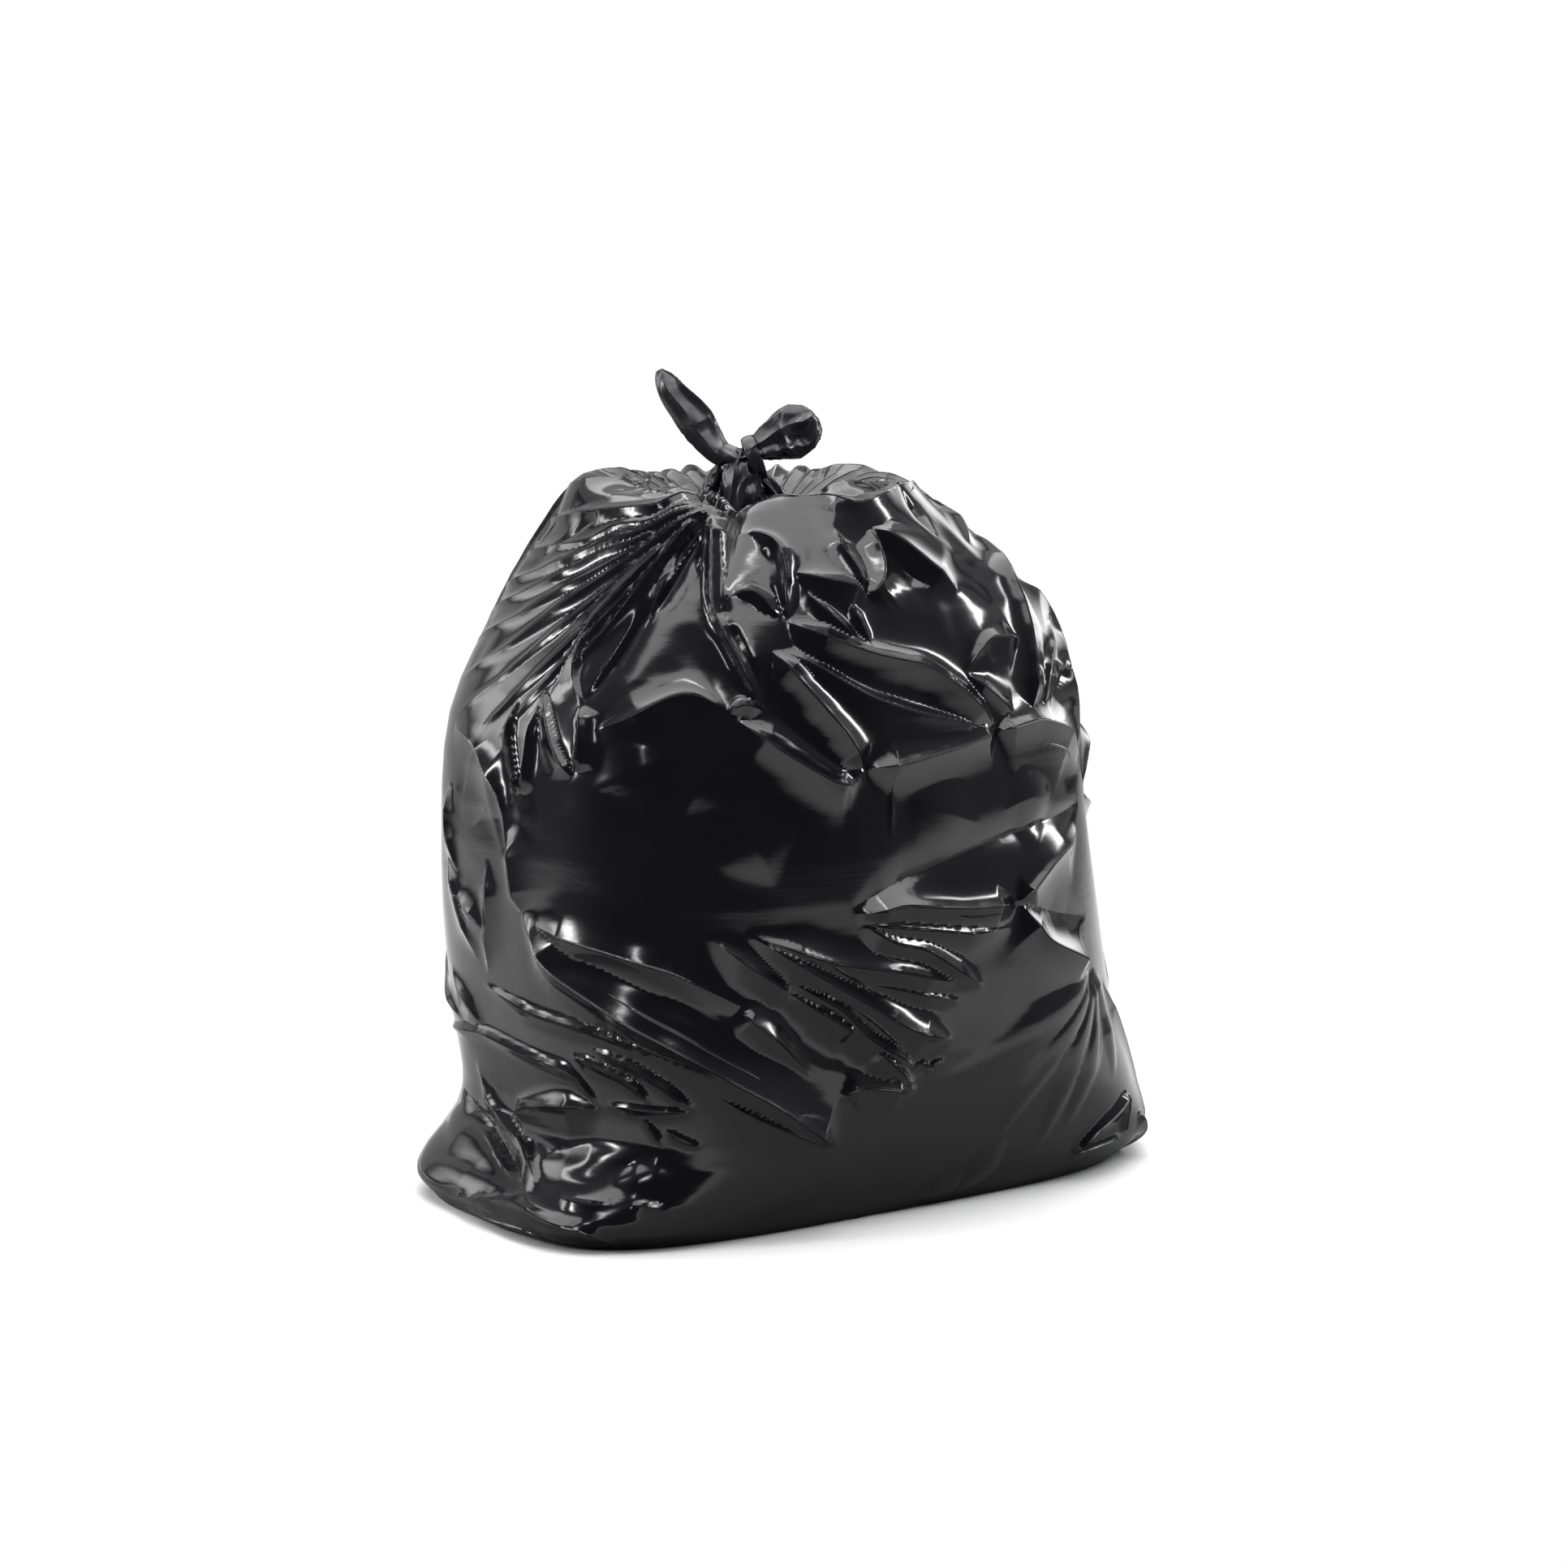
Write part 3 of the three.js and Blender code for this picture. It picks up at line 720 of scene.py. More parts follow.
class FilmField:
    """What the creases ask of the film at each point of the grid: its lift, how firmly it is held there,
    and the direction in which folds run."""

    def __init__(self, form, boost, width):
        self.form = form
        self.boost = boost
        self.width = width
        self.ridges = np.zeros((ROWS, COLUMNS))
        self.hollows = np.zeros((ROWS, COLUMNS))
        self.grip = np.zeros((ROWS, COLUMNS))
        self.nearby = np.zeros((ROWS, COLUMNS))
        self.lines = np.zeros((ROWS, COLUMNS))
        self.double_angle = np.zeros((ROWS, COLUMNS, 2))

    def near(self, route, reach):
        """The grid's places in the box round a route."""
        low, high = route.min(axis=0) - reach, route.max(axis=0) + reach
        height = self.form.points[..., 2]
        rows = np.nonzero((height.max(axis=1) > low[2]) & (height.min(axis=1) < high[2]))[0]
        if len(rows) == 0:
            return None
        block = self.form.points[rows[0]:rows[-1] + 1]
        inside = (block[..., 0] > low[0]) & (block[..., 0] < high[0])
        inside &= (block[..., 1] > low[1]) & (block[..., 1] < high[1])
        inside &= (block[..., 2] > low[2]) & (block[..., 2] < high[2])
        places = np.nonzero(inside)
        return (places[0] + rows[0], places[1]) if len(places[0]) else None

    def add(self, route, crease, free):
        """Adds a crease along a line of points on the form, which fades where the line isn't free of
        others."""
        form = self.form
        left_spread = crease.left * self.width
        right_spread = crease.right * self.width
        places = self.near(route, CREASE_REACH * (1 + HANG_REACH) * max(left_spread, right_spread) * MM)
        if places is None:
            return
        best, offset, heading, along, stations = nearest_on(route, form.points[places])
        side = dots(np.cross(heading, form.normals[places]), offset)
        spread = np.where(side > 0, right_spread, left_spread) * MM
        distance = np.maximum(np.sqrt(best) - ON_CREST, 0)
        grown = np.minimum(along / max(crease.start, LEAST_SHARE), 1)
        fade = grown * np.minimum((1 - along) / max(crease.finish, LEAST_SHARE), 1)
        spread = spread * (LEAST_SPREAD + (1 - LEAST_SPREAD) * fade)
        fade = fade * np.interp(along, stations, free)
        hang = np.clip(-dots(unit(offset), form.upward[places]), 0, 1)
        hang = hang * (1 - np.abs(form.normals[places][:, 2])) * (crease.rise > 0)
        reach = CREASE_REACH * spread * (1 + HANG_REACH * hang)
        if is_soft(crease):
            weight = np.maximum(1 - (distance / (SOFT_REACH * spread)) ** 2, 0) ** 2 * fade
        else:
            weight = fold_profile(distance, reach, FLARE - HANG_FLARE * hang) * fade
        lift = crease.rise * self.boost * MM * weight
        if crease.rise > 0 and not is_soft(crease):
            line = np.maximum(1 - distance / LINE_REACH, 0) * fade**LINE_FADE
            self.lines[places] = np.maximum(self.lines[places], line)
        self.ridges[places] = np.maximum(self.ridges[places], lift)
        self.hollows[places] = np.minimum(self.hollows[places], lift)
        self.grip[places] = np.maximum(self.grip[places], weight)
        angle = 2 * np.arctan2(dots(heading, form.upward[places]), dots(heading, form.around[places]))
        steer = (np.exp(-distance / (STEER_REACH * spread)) * fade)[:, None]
        self.double_angle[places] += steer * np.stack([np.cos(angle), np.sin(angle)], axis=-1)
        self.nearby[places] = np.maximum(self.nearby[places], steer[:, 0])

    def steer(self):
        """Adds the way folds run where no crease is near: up the crown, and slanting lower on the bag."""
        height = self.form.points[..., 2]
        upright = smooth((height - UPRIGHT_FROM) / UPRIGHT_OVER)
        slant = np.where(upright > 0.5, math.pi, 2 * SLANT)
        strength = SLANT_STRENGTH + UPRIGHT_STRENGTH * upright
        self.double_angle += strength[..., None] * np.stack([np.cos(slant), np.sin(slant)], axis=-1)
        angle = 0.5 * np.arctan2(self.double_angle[..., 1], self.double_angle[..., 0] + 1e-9)
        self.along = np.cos(angle)[..., None] * self.form.around + np.sin(angle)[..., None] * self.form.upward

    @property
    def lift(self):
        """How far the film stands out from the form, or in from it where a hollow is deeper."""
        return self.ridges + self.hollows


# The knot's pieces. Each runs through stations: the middle in the photograph's pixels, half its width in
# pixels, half its depth in millimetres and how far it stands towards the eye in millimetres.
Gather = namedtuple("Gather", "stations pleats rise crumple seed")

KNOT = {
    "collar": Gather(
        ((911, 672, 44, 24, -8), (911, 645, 29, 17, -2), (913, 618, 26, 16, 2), (914, 592, 26, 16, 4),
         (914, 573, 22, 14, 4), (915, 556, 12, 9, 2)),
        13, 1.8, 0.3, 3),
    "long_ear": Gather(
        ((920, 568, 8, 7, 6), (903, 563, 12, 9, 7), (886, 556, 15, 8, 6), (868, 533, 20, 6, 5),
         (850, 508, 22, 5, 4), (829, 484, 18, 5, 3), (818, 467, 12, 4, 2), (812, 456, 4, 3, 2)),
        4, 1.3, 0.35, 5),
    "short_ear": Gather(
        ((910, 563, 9, 8, 6), (926, 559, 13, 10, 8), (940, 552, 19, 11, 8), (957, 542, 28, 11, 7),
         (975, 534, 33, 10, 6), (993, 528, 27, 8, 5), (1005, 524, 17, 6, 4), (1011, 522, 6, 3, 4)),
        6, 1.8, 1.0, 8),
    "left_tuck": Gather(
        ((886, 574, 4, 5, 0), (879, 590, 8, 8, 2), (874, 606, 9, 8, 2), (878, 622, 6, 6, 1)),
        4, 1.4, 0.5, 12),
    "right_tuck": Gather(
        ((936, 582, 5, 5, 0), (944, 594, 9, 8, 0), (955, 606, 11, 9, -1), (968, 618, 9, 8, -3),
         (980, 626, 4, 5, -5)),
        5, 1.5, 0.5, 15),
}
STRAP_MIDDLE = (929, 564)
STRAP_RUN = (13, 40)
STRAP_REACH = (15, 14)
STRAP_HALF_WIDTH = 5.5
STRAP_HALF_DEPTH = 2.0
STRAP_TOWARD = 4
STRAP_ROWS = 121
STRAP_GATHER = Gather((), 6, 0.9, 0.5, 21)
GATHER_ROWS = 90
GATHER_COLUMNS = 96

# Pieces of the knot that are thinner than this have lower pleats
THIN = 0.006


def flowing_line(values, count):
    """Points along a smooth curve through values."""
    values = np.asarray(values, float)
    place = np.linspace(0, len(values) - 1, count)
    first = np.minimum(np.floor(place).astype(int), len(values) - 2)
    share = (place - first)[:, None]
    ends = np.concatenate([2 * values[:1] - values[1:2], values, 2 * values[-1:] - values[-2:-1]])
    before, start, finish, beyond = (ends[first + step] for step in range(4))
    return start + 0.5 * share * (finish - before + share * (
        2 * before - 5 * start + 4 * finish - beyond + share * (3 * (start - finish) + beyond - before)))


def gathered_rows(centres, side, facing, across, deep, gather, closed=False):
    """Rows of points round a gathered length of film: pleats that run along it, and crumples."""
    shape = rows, columns = len(centres), GATHER_COLUMNS
    generator = np.random.default_rng(gather.seed)
    angle = np.arange(columns) / columns * math.tau
    wander = seeded_noise(shape, (3, 5), generator) * 0.5
    wander = wander + seeded_noise(shape, (6, 9), generator) * 0.2
    turn = gather.pleats * (angle[None, :] / math.tau) + wander * gather.pleats / 9
    pleat = 1 - 2 * np.abs(np.sin(math.pi * turn)) ** 0.7
    strength = 0.75 + 0.4 * seeded_noise(shape, (4, 6), generator)
    crumple = 1 - 2 * np.abs(seeded_noise(shape, (5, 5), generator))
    lift = (pleat * strength * gather.rise + crumple * gather.crumple) * MM
    small = np.minimum(np.minimum(across, deep) / THIN, 1)[:, None]
    lift = lift * small
    if closed:
        blend = smooth(np.abs(np.linspace(-1, 1, rows)) * 4 - 3)[:, None]
        lift = lift * (1 - blend)
    cosine, sine = np.cos(angle)[None, :, None], np.sin(angle)[None, :, None]
    wide, thick = across[:, None, None], deep[:, None, None]
    outward = unit(side[:, None] * cosine / wide + facing[:, None] * sine / thick)
    ring = centres[:, None] + side[:, None] * cosine * wide + facing[:, None] * sine * thick
    return ring + outward * lift[..., None]


def gather_points(camera, middle, gather):
    """Rows of points of one of the knot's pieces."""
    stations = flowing_line(gather.stations, GATHER_ROWS)
    centres = np.array([camera.beside(s[:2], middle, s[4] * MM) for s in stations])
    scale = (middle - EYE).dot(camera.ahead) / FOCAL_PIXELS
    along = unit(np.gradient(centres, axis=0))
    facing = np.array(EYE) - centres
    facing = unit(facing - along * dots(facing, along)[:, None])
    side = np.cross(along, facing)
    return gathered_rows(centres, side, facing, np.maximum(stations[:, 2], 1) * scale,
                         np.maximum(stations[:, 3], 1) * MM, gather)


def strap_points(camera, middle):
    """Rows of points of the band that is tied round the two ears."""
    centre = np.array(camera.beside(STRAP_MIDDLE, middle, STRAP_TOWARD * MM))
    run = unit(np.array(camera.right) * STRAP_RUN[0] - np.array(camera.up) * STRAP_RUN[1])
    toward = -np.array(camera.ahead)
    turn = np.linspace(0, math.tau, STRAP_ROWS)[:, None]
    outward = run * np.cos(turn) * STRAP_REACH[0] * MM + toward * np.sin(turn) * STRAP_REACH[1] * MM
    centres = centre + outward
    along = unit(np.gradient(centres, axis=0))
    along[0] = along[-1] = unit(along[0] + along[-1])
    facing = unit(outward - along * dots(outward, along)[:, None])
    side = np.cross(along, facing)
    width = np.full(STRAP_ROWS, STRAP_HALF_WIDTH * MM)
    depth = np.full(STRAP_ROWS, STRAP_HALF_DEPTH * MM)
    return gathered_rows(centres, side, facing, width, depth, STRAP_GATHER, closed=True)


def tube_mesh(name, points, material):
    """A closed mesh from rows of points, drawn to a point at each end."""
    rows, columns = points.shape[:2]
    index = np.arange(rows * columns).reshape(rows, columns)
    after = np.roll(index, -1, axis=1)
    faces = np.stack([index[:-1], after[:-1], after[1:], index[1:]], axis=-1).reshape(-1, 4).tolist()
    bottom, top = rows * columns, rows * columns + 1
    faces += [(b, a, bottom) for a, b in zip(index[0].tolist(), after[0].tolist())]
    faces += [(a, b, top) for a, b in zip(index[-1].tolist(), after[-1].tolist())]
    corners = np.concatenate([points.reshape(-1, 3), points[:1].mean(axis=1), points[-1:].mean(axis=1)])
    return film_piece(name, corners.tolist(), faces, material)


def film_piece(name, corners, faces, material):
    """A smooth piece of film that rides with the bag."""
    mesh = bpy.data.meshes.new(name)
    mesh.from_pydata(corners, [], faces)
    for face in mesh.polygons:
        face.use_smooth = True
    mesh.materials.append(material)
    piece = bpy.data.objects.new(name, mesh)
    bpy.context.scene.collection.objects.link(piece)
    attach(piece, BAG_BODY)
    return piece


def seeded_noise(shape, cells, generator):
    """Smooth noise over the grid, about one lump to each cell; it closes on itself round the bag."""
    rows, columns = shape
    coarse = generator.standard_normal((cells[0] + 3, cells[1]))
    row_at = np.linspace(1, cells[0] + 1, rows)
    column_at = np.arange(columns) / columns * cells[1]
    row_low = np.floor(row_at).astype(int)
    column_low = np.floor(column_at).astype(int)
    row_share = smooth(row_at - row_low)[:, None]
    column_share = smooth(column_at - column_low)[None, :]
    after = (column_low + 1) % cells[1]
    top = coarse[row_low][:, column_low] * (1 - column_share) + coarse[row_low][:, after] * column_share
    row_next = np.minimum(row_low + 1, cells[0] + 2)
    low = coarse[row_next][:, column_low] * (1 - column_share) + coarse[row_next][:, after] * column_share
    return top * (1 - row_share) + low * row_share


class FilmLattice:
    """Lengths of film between the points of a grid, which closes on itself along its rows."""

    def __init__(self, points, along, spare, bend):
        rows, columns = points.shape[:2]
        index = np.arange(rows * columns).reshape(rows, columns)
        self.flat = points.reshape(-1, 3)
        self.along = along.reshape(-1, 3)
        self.spare = spare.reshape(-1)
        self.pulls = []
        after = np.roll(index, -1, axis=1)
        before = np.roll(index, 1, axis=1)
        for odd in (0, 1):
            self.add(index[:, odd::2], after[:, odd::2], 1.0)
            self.add(index[odd:-1:2], index[odd + 1::2], 1.0)
            self.add(index[odd:-1:2], after[odd + 1::2], 0.5)
            self.add(index[odd:-1:2], before[odd + 1::2], 0.5)
        skip = np.roll(index, -2, axis=1)
        for start in (0, 2):
            even = np.arange(columns) % 4 - start
            chosen = (even == 0) | (even == 1)
            self.add(index[:, chosen], skip[:, chosen], bend)
            row_even = np.arange(rows - 2) % 4 - start
            row_chosen = np.nonzero((row_even == 0) | (row_even == 1))[0]
            self.add(index[row_chosen], index[row_chosen + 2], bend)

    def add(self, first, second, stiffness):
        """Joins pairs of points that don't share a point by their length of film."""
        first, second = first.ravel(), second.ravel()
        edge = self.flat[second] - self.flat[first]
        total = dots(edge, edge)
        run = dots(edge, self.along[first]) ** 2
        run = np.minimum(run, total)
        spare = 1 + 0.5 * (self.spare[first] + self.spare[second])
        rest = np.sqrt(run + (total - run) * spare**2)
        self.pulls.append((first, second, rest.astype(np.float32), stiffness))

    def relax(self, points):
        """Moves points towards their lengths of film, one set of pairs after another."""
        for first, second, rest, stiffness in self.pulls:
            edge = points[second] - points[first]
            length = np.sqrt(dots(edge, edge)) + 1e-9
            edge *= (0.5 * stiffness * (1 - rest / length))[:, None]
            points[first] += edge
            points[second] -= edge


def flat(grid):
    """A grid's points as one list of places in single precision."""
    return grid.reshape(-1, 3).astype(np.float32)


def settle(form, field, settings):
    """The film's points when it has settled: coarse folds first, then finer ones."""
    generator = np.random.default_rng(settings.seed)
    height = form.points[..., 2]
    crown = smooth((height - SPARE_FROM) / SPARE_OVER)
    girth_spare = np.clip(settings.girth / form.girths - 1, 0.0, settings.most_spare)[:, None] * crown
    spare = girth_spare + settings.slack * blurred(field.nearby, 4) * smooth(height / FLOOR_OVER)
    ring = np.linalg.norm(form.points - form.points.mean(axis=1, keepdims=True), axis=-1)
    reach = np.clip(RING_REACH * ring, LEAST_REACH, 1)
    displaced = None
    for stride, steps, bend, share in SETTLING:
        rows, columns = slice(None, None, stride), slice(None, None, stride)
        base = form.points[rows, columns]
        normals = form.normals[rows, columns]
        lift = blurred(field.lift, stride)[rows, columns]
        target = base + lift[..., None] * normals
        lattice = FilmLattice(target, field.along[rows, columns], spare[rows, columns] * share, bend)
        noise = seeded_noise(base.shape[:2], (base.shape[0] // 3, base.shape[1] // 3), generator)
        start = target if displaced is None else base + doubled(displaced)
        unrest = noise * settings.unrest * stride / SETTLING[0][0] * (BELLY_UNREST + crown[rows, columns])
        points = flat(start + normals * unrest[..., None])
        limit = reach[rows, columns].reshape(-1)
        hold = (settings.hold * field.grip[rows, columns]).reshape(-1, 1).astype(np.float32)
        flat_target, flat_base, flat_normals = flat(target), flat(base), flat(normals)
        fixed = np.zeros(base.shape[:2], bool)
        fixed[:SEAL_ROWS * 2 // stride + 1] = True
        fixed[-1] = True
        fixed = fixed.ravel()
        for _ in range(steps):
            lattice.relax(points)
            points += hold * (flat_target - points)
            out = dots(points - flat_base, flat_normals)
            change = np.clip(out, -np.minimum(settings.sunk, limit), np.minimum(settings.proud, limit)) - out
            points += change[:, None] * flat_normals
            np.maximum(points[:, 2], 0, out=points[:, 2])
            points[fixed] = flat_target[fixed]
        points = points.reshape(base.shape)
        displaced = points - base
    crowded = np.minimum(KEEP_STEEPNESS * blurred(field.nearby, 5), 1)
    freedom = settings.settled * (1 - settings.keep * crowded)
    settled = form.points + field.lift[..., None] * form.normals
    settled = settled + freedom[..., None] * doubled(points - target)
    settled[..., 2] = np.maximum(settled[..., 2], 0)
    return settled


def shifted(grid, row_step, column_step):
    """A grid moved by whole rows and columns; its end rows repeat."""
    moved = np.roll(grid, column_step, axis=1) if column_step else grid
    if row_step > 0:
        return np.concatenate([np.repeat(moved[:1], row_step, axis=0), moved[:-row_step]])
    if row_step < 0:
        return np.concatenate([moved[-row_step:], np.repeat(moved[-1:], -row_step, axis=0)])
    return moved


def blurred(values, stride):
    """Values averaged over about a stride each way."""
    result = values
    for _ in range(stride - 1):
        result = 0.25 * np.roll(result, 1, axis=1) + 0.5 * result + 0.25 * np.roll(result, -1, axis=1)
        padded = np.concatenate([result[:1], result, result[-1:]])
        result = 0.25 * padded[:-2] + 0.5 * result + 0.25 * padded[2:]
    return result


def doubled(grid):
    """A grid with twice the columns and a row between each two rows, along smooth curves."""
    rows, columns = grid.shape[:2]
    wide = np.zeros((rows, columns * 2, 3))
    wide[:, 0::2] = grid
    before, after, beyond = (np.roll(grid, step, axis=1) for step in (1, -1, -2))
    wide[:, 1::2] = (9 * (grid + after) - before - beyond) / 16
    tall = np.zeros((rows * 2 - 1, columns * 2, 3))
    tall[0::2] = wide
    ends = np.concatenate([2 * wide[:1] - wide[1:2], wide, 2 * wide[-1:] - wide[-2:-1]])
    tall[1::2] = (9 * (ends[1:-2] + ends[2:-1]) - ends[:-3] - ends[3:]) / 16
    return tall


class Nodes:
    """A socket in a node tree. Python's operators on it add the Math nodes that work the expression out."""

    def __init__(self, tree, socket=None):
        self.tree = tree
        self.socket = socket

    def node(self, kind, settings=None, inputs=None, output=0):
        """Adds a node of a type, with its settings and then its sockets' values or links, and wraps an
        output."""
        made = self.tree.nodes.new(kind)
        for name, value in (settings or {}).items():
            setattr(made, name, value)
        for name, value in (inputs or {}).items():
            if isinstance(value, Nodes):
                self.tree.links.new(value.socket, made.inputs[name])
            else:
                made.inputs[name].default_value = value
        return None if output is None else Nodes(self.tree, made.outputs[output])

    def maths(self, operation, first, second):
        """Adds a Math node."""
        return self.node("ShaderNodeMath", {"operation": operation}, {0: first, 1: second})

    def __add__(self, other):
        return self.maths("ADD", self, other)

    __radd__ = __add__

    def __sub__(self, other):
        return self.maths("SUBTRACT", self, other)

    def __rsub__(self, other):
        return self.maths("SUBTRACT", other, self)

    def __mul__(self, other):
        return self.maths("MULTIPLY", self, other)

    __rmul__ = __mul__


def smooth_range(n, value, low, high, start=0.0, finish=1.0):
    """A smooth step from start to finish as a value goes from low to high."""
    return n.node("ShaderNodeMapRange", {"interpolation_type": "SMOOTHSTEP"},
                  {"Value": value, "From Min": low, "From Max": high, "To Min": start, "To Max": finish})


# The share of the way to a fold line's crest where its raised line, with its painted highlight, starts
CREST_FROM = 0.76


def film_material(settings):
    """Glossy black film: slightly uneven gloss, faint stretch marks, raised fold lines with a painted
    highlight along their crests, and a faint cloudy tone.
    """
    material = bpy.data.materials.new(FILM_SLOT)
    n = new_tree(material)
    place = n.node("ShaderNodeTexCoord", output="Object")
    fine = n.node("ShaderNodeTexNoise", {"noise_dimensions": "3D"},
                  {"Vector": place, "Scale": 60.0, "Detail": 3.0, "Roughness": 0.55})
    cloudy = n.node("ShaderNodeTexNoise", {"noise_dimensions": "3D"},
                    {"Vector": place, "Scale": 9.0, "Detail": 2.0, "Roughness": 0.5})
    line = n.node("ShaderNodeAttribute", {"attribute_name": "fold_line"}, output="Fac")
    crest = smooth_range(n, line, CREST_FROM, 1.0)
    roughness = settings.roughness + (cloudy - 0.5) * 0.06 + (fine - 0.5) * 0.04
    # The colour is paler along fold crests as a painted highlight, and a little paler by chance as the film's
    # cloudy tone
    crest_glint_and_tone = crest * 0.3 + cloudy * 0.1
    colours = {6: (*settings.colour, 1), 7: (*settings.glint_and_tone_colour, 1)}
    colour = n.node("ShaderNodeMix", {"data_type": "RGBA"}, {"Factor": crest_glint_and_tone, **colours}, output=2)
    slanted = n.node("ShaderNodeMapping", None,
                     {"Vector": place, "Rotation": (0.3, math.radians(32), 0.5), "Scale": (24, 60, 190)})
    streaks = n.node("ShaderNodeTexNoise", {"noise_dimensions": "3D"},
                     {"Vector": slanted, "Scale": 1.0, "Detail": 3.0, "Roughness": 0.6})
    bump = n.node("ShaderNodeBump", None,
                  {"Strength": 0.045, "Distance": 0.002, "Height": streaks * 0.8 + fine * 0.2})
    folded = n.node("ShaderNodeBump", None,
                    {"Strength": 1.0, "Distance": 0.0008, "Height": crest, "Normal": bump})
    shader = n.node("ShaderNodeBsdfPrincipled", None,
                    {"Base Color": colour, "Roughness": roughness, "Normal": folded, "IOR": 1.52})
    n.node("ShaderNodeOutputMaterial", None, {"Surface": shader}, output=None)
    return material


def corner_normals(points, diagonals):
    """For each cell's two triangles and their corners, the mean direction of the triangles round the
    corner that face nearly the same way, so that folds stay sharp."""
    after = np.roll(points, -1, axis=1)
    a, b, c, d = (corner.astype(np.float32) for corner in (points[:-1], after[:-1], after[1:], points[1:]))
    first = diagonals[..., None]
    third = np.where(first, c, d)
    start = np.where(first, a, b)
    areas = (np.cross(b - a, third - a), np.cross(c - start, d - start))
    facing = [unit(area).astype(np.float32) for area in areas]

    def toward(number, row, column):
        total = np.zeros_like(facing[0])
        for row_step in (row - 1, row):
            for column_step in (column - 1, column):
                for area, other in zip(areas, facing):
                    other = shifted(other, -row_step, -column_step)
                    apart = 1 - np.einsum("ijk,ijk->ij", facing[number], other)
                    like = np.exp(-apart / FACET_TURN**2)[..., None]
                    total += like * shifted(area, -row_step, -column_step)
        return unit(total)

    one = (toward(0, 0, 0), toward(0, 0, 1), np.where(first, toward(0, 1, 1), toward(0, 1, 0)))
    two = (np.where(first, toward(1, 0, 0), toward(1, 0, 1)), toward(1, 1, 1), toward(1, 1, 0))
    return np.stack([np.stack(one, axis=2), np.stack(two, axis=2)], axis=2)


def film_panels(points, lines, diagonals, material):
    """The bag's film in panels side by side, closed at the neck, with one set of normals over them all."""
    normals = corner_normals(points, diagonals)
    width = COLUMNS // PANELS
    panels = []
    for number in range(PANELS):
        chosen = np.arange(number * width, (number + 1) * width + 1) % COLUMNS
        corners = points[:, chosen]
        index = np.arange(corners.shape[0] * corners.shape[1]).reshape(corners.shape[:2])
        a, b, c, d = index[:-1, :-1], index[:-1, 1:], index[1:, 1:], index[1:, :-1]
        first = diagonals[:, chosen[:-1]]
        faces = np.stack([a, b, np.where(first, c, d), np.where(first, a, b), c, d], axis=-1).reshape(-1, 3)
        top = index.size
        faces = faces.tolist() + [(low, high, top) for low, high in zip(index[-1, :-1], index[-1, 1:])]
        middle = points[-1].mean(axis=0) + (0, 0, NECK_CAP)
        corners = np.concatenate([corners.reshape(-1, 3), middle[None]])
        panel = film_piece(f"bag_film_{number + 1}", corners.tolist(), faces, material)
        shading = normals[:, chosen[:-1]].reshape(-1, 3).tolist() + [(0, 0, 1)] * (3 * width)
        panel.data.normals_split_custom_set(shading)
        layer = panel.data.attributes.new("fold_line", "FLOAT", "POINT")
        layer.data.foreach_set("value", np.append(lines[:, chosen].ravel(), 0).astype(np.float32))
        panels.append(panel)
    return panels


class FilmSettings(bpy.types.PropertyGroup):
    """Sizes and finish of the film."""

    girth: FloatProperty(name="Girth", description="Film round the bag", default=1.474, unit="LENGTH")
    most_spare: FloatProperty(name="Most spare", description="Most spare film at the neck, as a share",
                              default=0.03)
    slack: FloatProperty(name="Slack", description="Spare film near creases, as a share", default=0.008)
    unrest: FloatProperty(name="Unrest", description="Size of the chance folds it starts with",
                          default=0.0010, unit="LENGTH")
    boost: FloatProperty(name="Boost", description="How strongly creases stand out", default=1.2)
    width: FloatProperty(name="Width", description="How widely creases spread", default=1.3)
    hold: FloatProperty(name="Hold", description="How firmly creases hold the film", default=0.5)
    proud: FloatProperty(name="Proud", description="Most that a fold stands out",
                         default=0.016, unit="LENGTH")
    sunk: FloatProperty(name="Sunk", description="Most that a fold sinks in", default=0.030, unit="LENGTH")
    keep: FloatProperty(name="Keep", default=0.85,
                        description="Share of their own form that creases keep as the film settles")
    companions: FloatProperty(name="Companions", default=0.5,
                              description="Share of creases that have a lesser one beside them")
    settled: FloatProperty(name="Settled", description="Share of the settled folds that the film takes on",
                           default=0.3)
    neck_pleats: IntProperty(name="Neck pleats", description="Number of pleats round the knot", default=38)
    hidden_folds: IntProperty(name="Hidden folds", description="Number of chance folds on the hidden side",
                              default=26)
    hidden: FloatProperty(name="Hidden", description="Share of creases that the hidden side has", default=0.8)
    seed: IntProperty(name="Seed", description="Choice of chance folds", default=7)
    colour: FloatVectorProperty(name="Colour", description="Colour of the film", subtype="COLOR",
                                default=(0.0030, 0.0030, 0.0040))
    # The paler colour is a painted highlight along fold crests, and it also gives the film its cloudy tone
    glint_and_tone_colour: FloatVectorProperty(name="Glint and tone colour", description="Colour of the painted highlight on fold crests and of the film's cloudy tone",
                                     subtype="COLOR", default=(0.03, 0.03, 0.034))
    roughness: FloatProperty(name="Roughness", description="Roughness of the film", default=0.13)


class StageSettings(bpy.types.PropertyGroup):
    """The studio."""

    floor_colour: FloatVectorProperty(name="Floor", description="Colour of the floor", subtype="COLOR",
                                      default=(0.80, 0.80, 0.80))
    overhead: FloatProperty(name="Overhead", description="Brightness of the overhead softbox", default=3.6)
    strips: FloatProperty(name="Strips", description="Brightness of the strip lights", default=40.0)
    key: FloatProperty(name="Key", description="Brightness of the key light", default=16.0)
    panels: FloatProperty(name="Panels", description="Brightness of the panels at the sides", default=4.0)
    walls: FloatProperty(name="Walls", description="Brightness of the walls at the sides", default=0.22)
    back: FloatProperty(name="Back", description="Brightness of the backdrop behind the bag", default=0.6)
    front: FloatProperty(name="Front", description="Brightness of the dark front of the room", default=0.05)


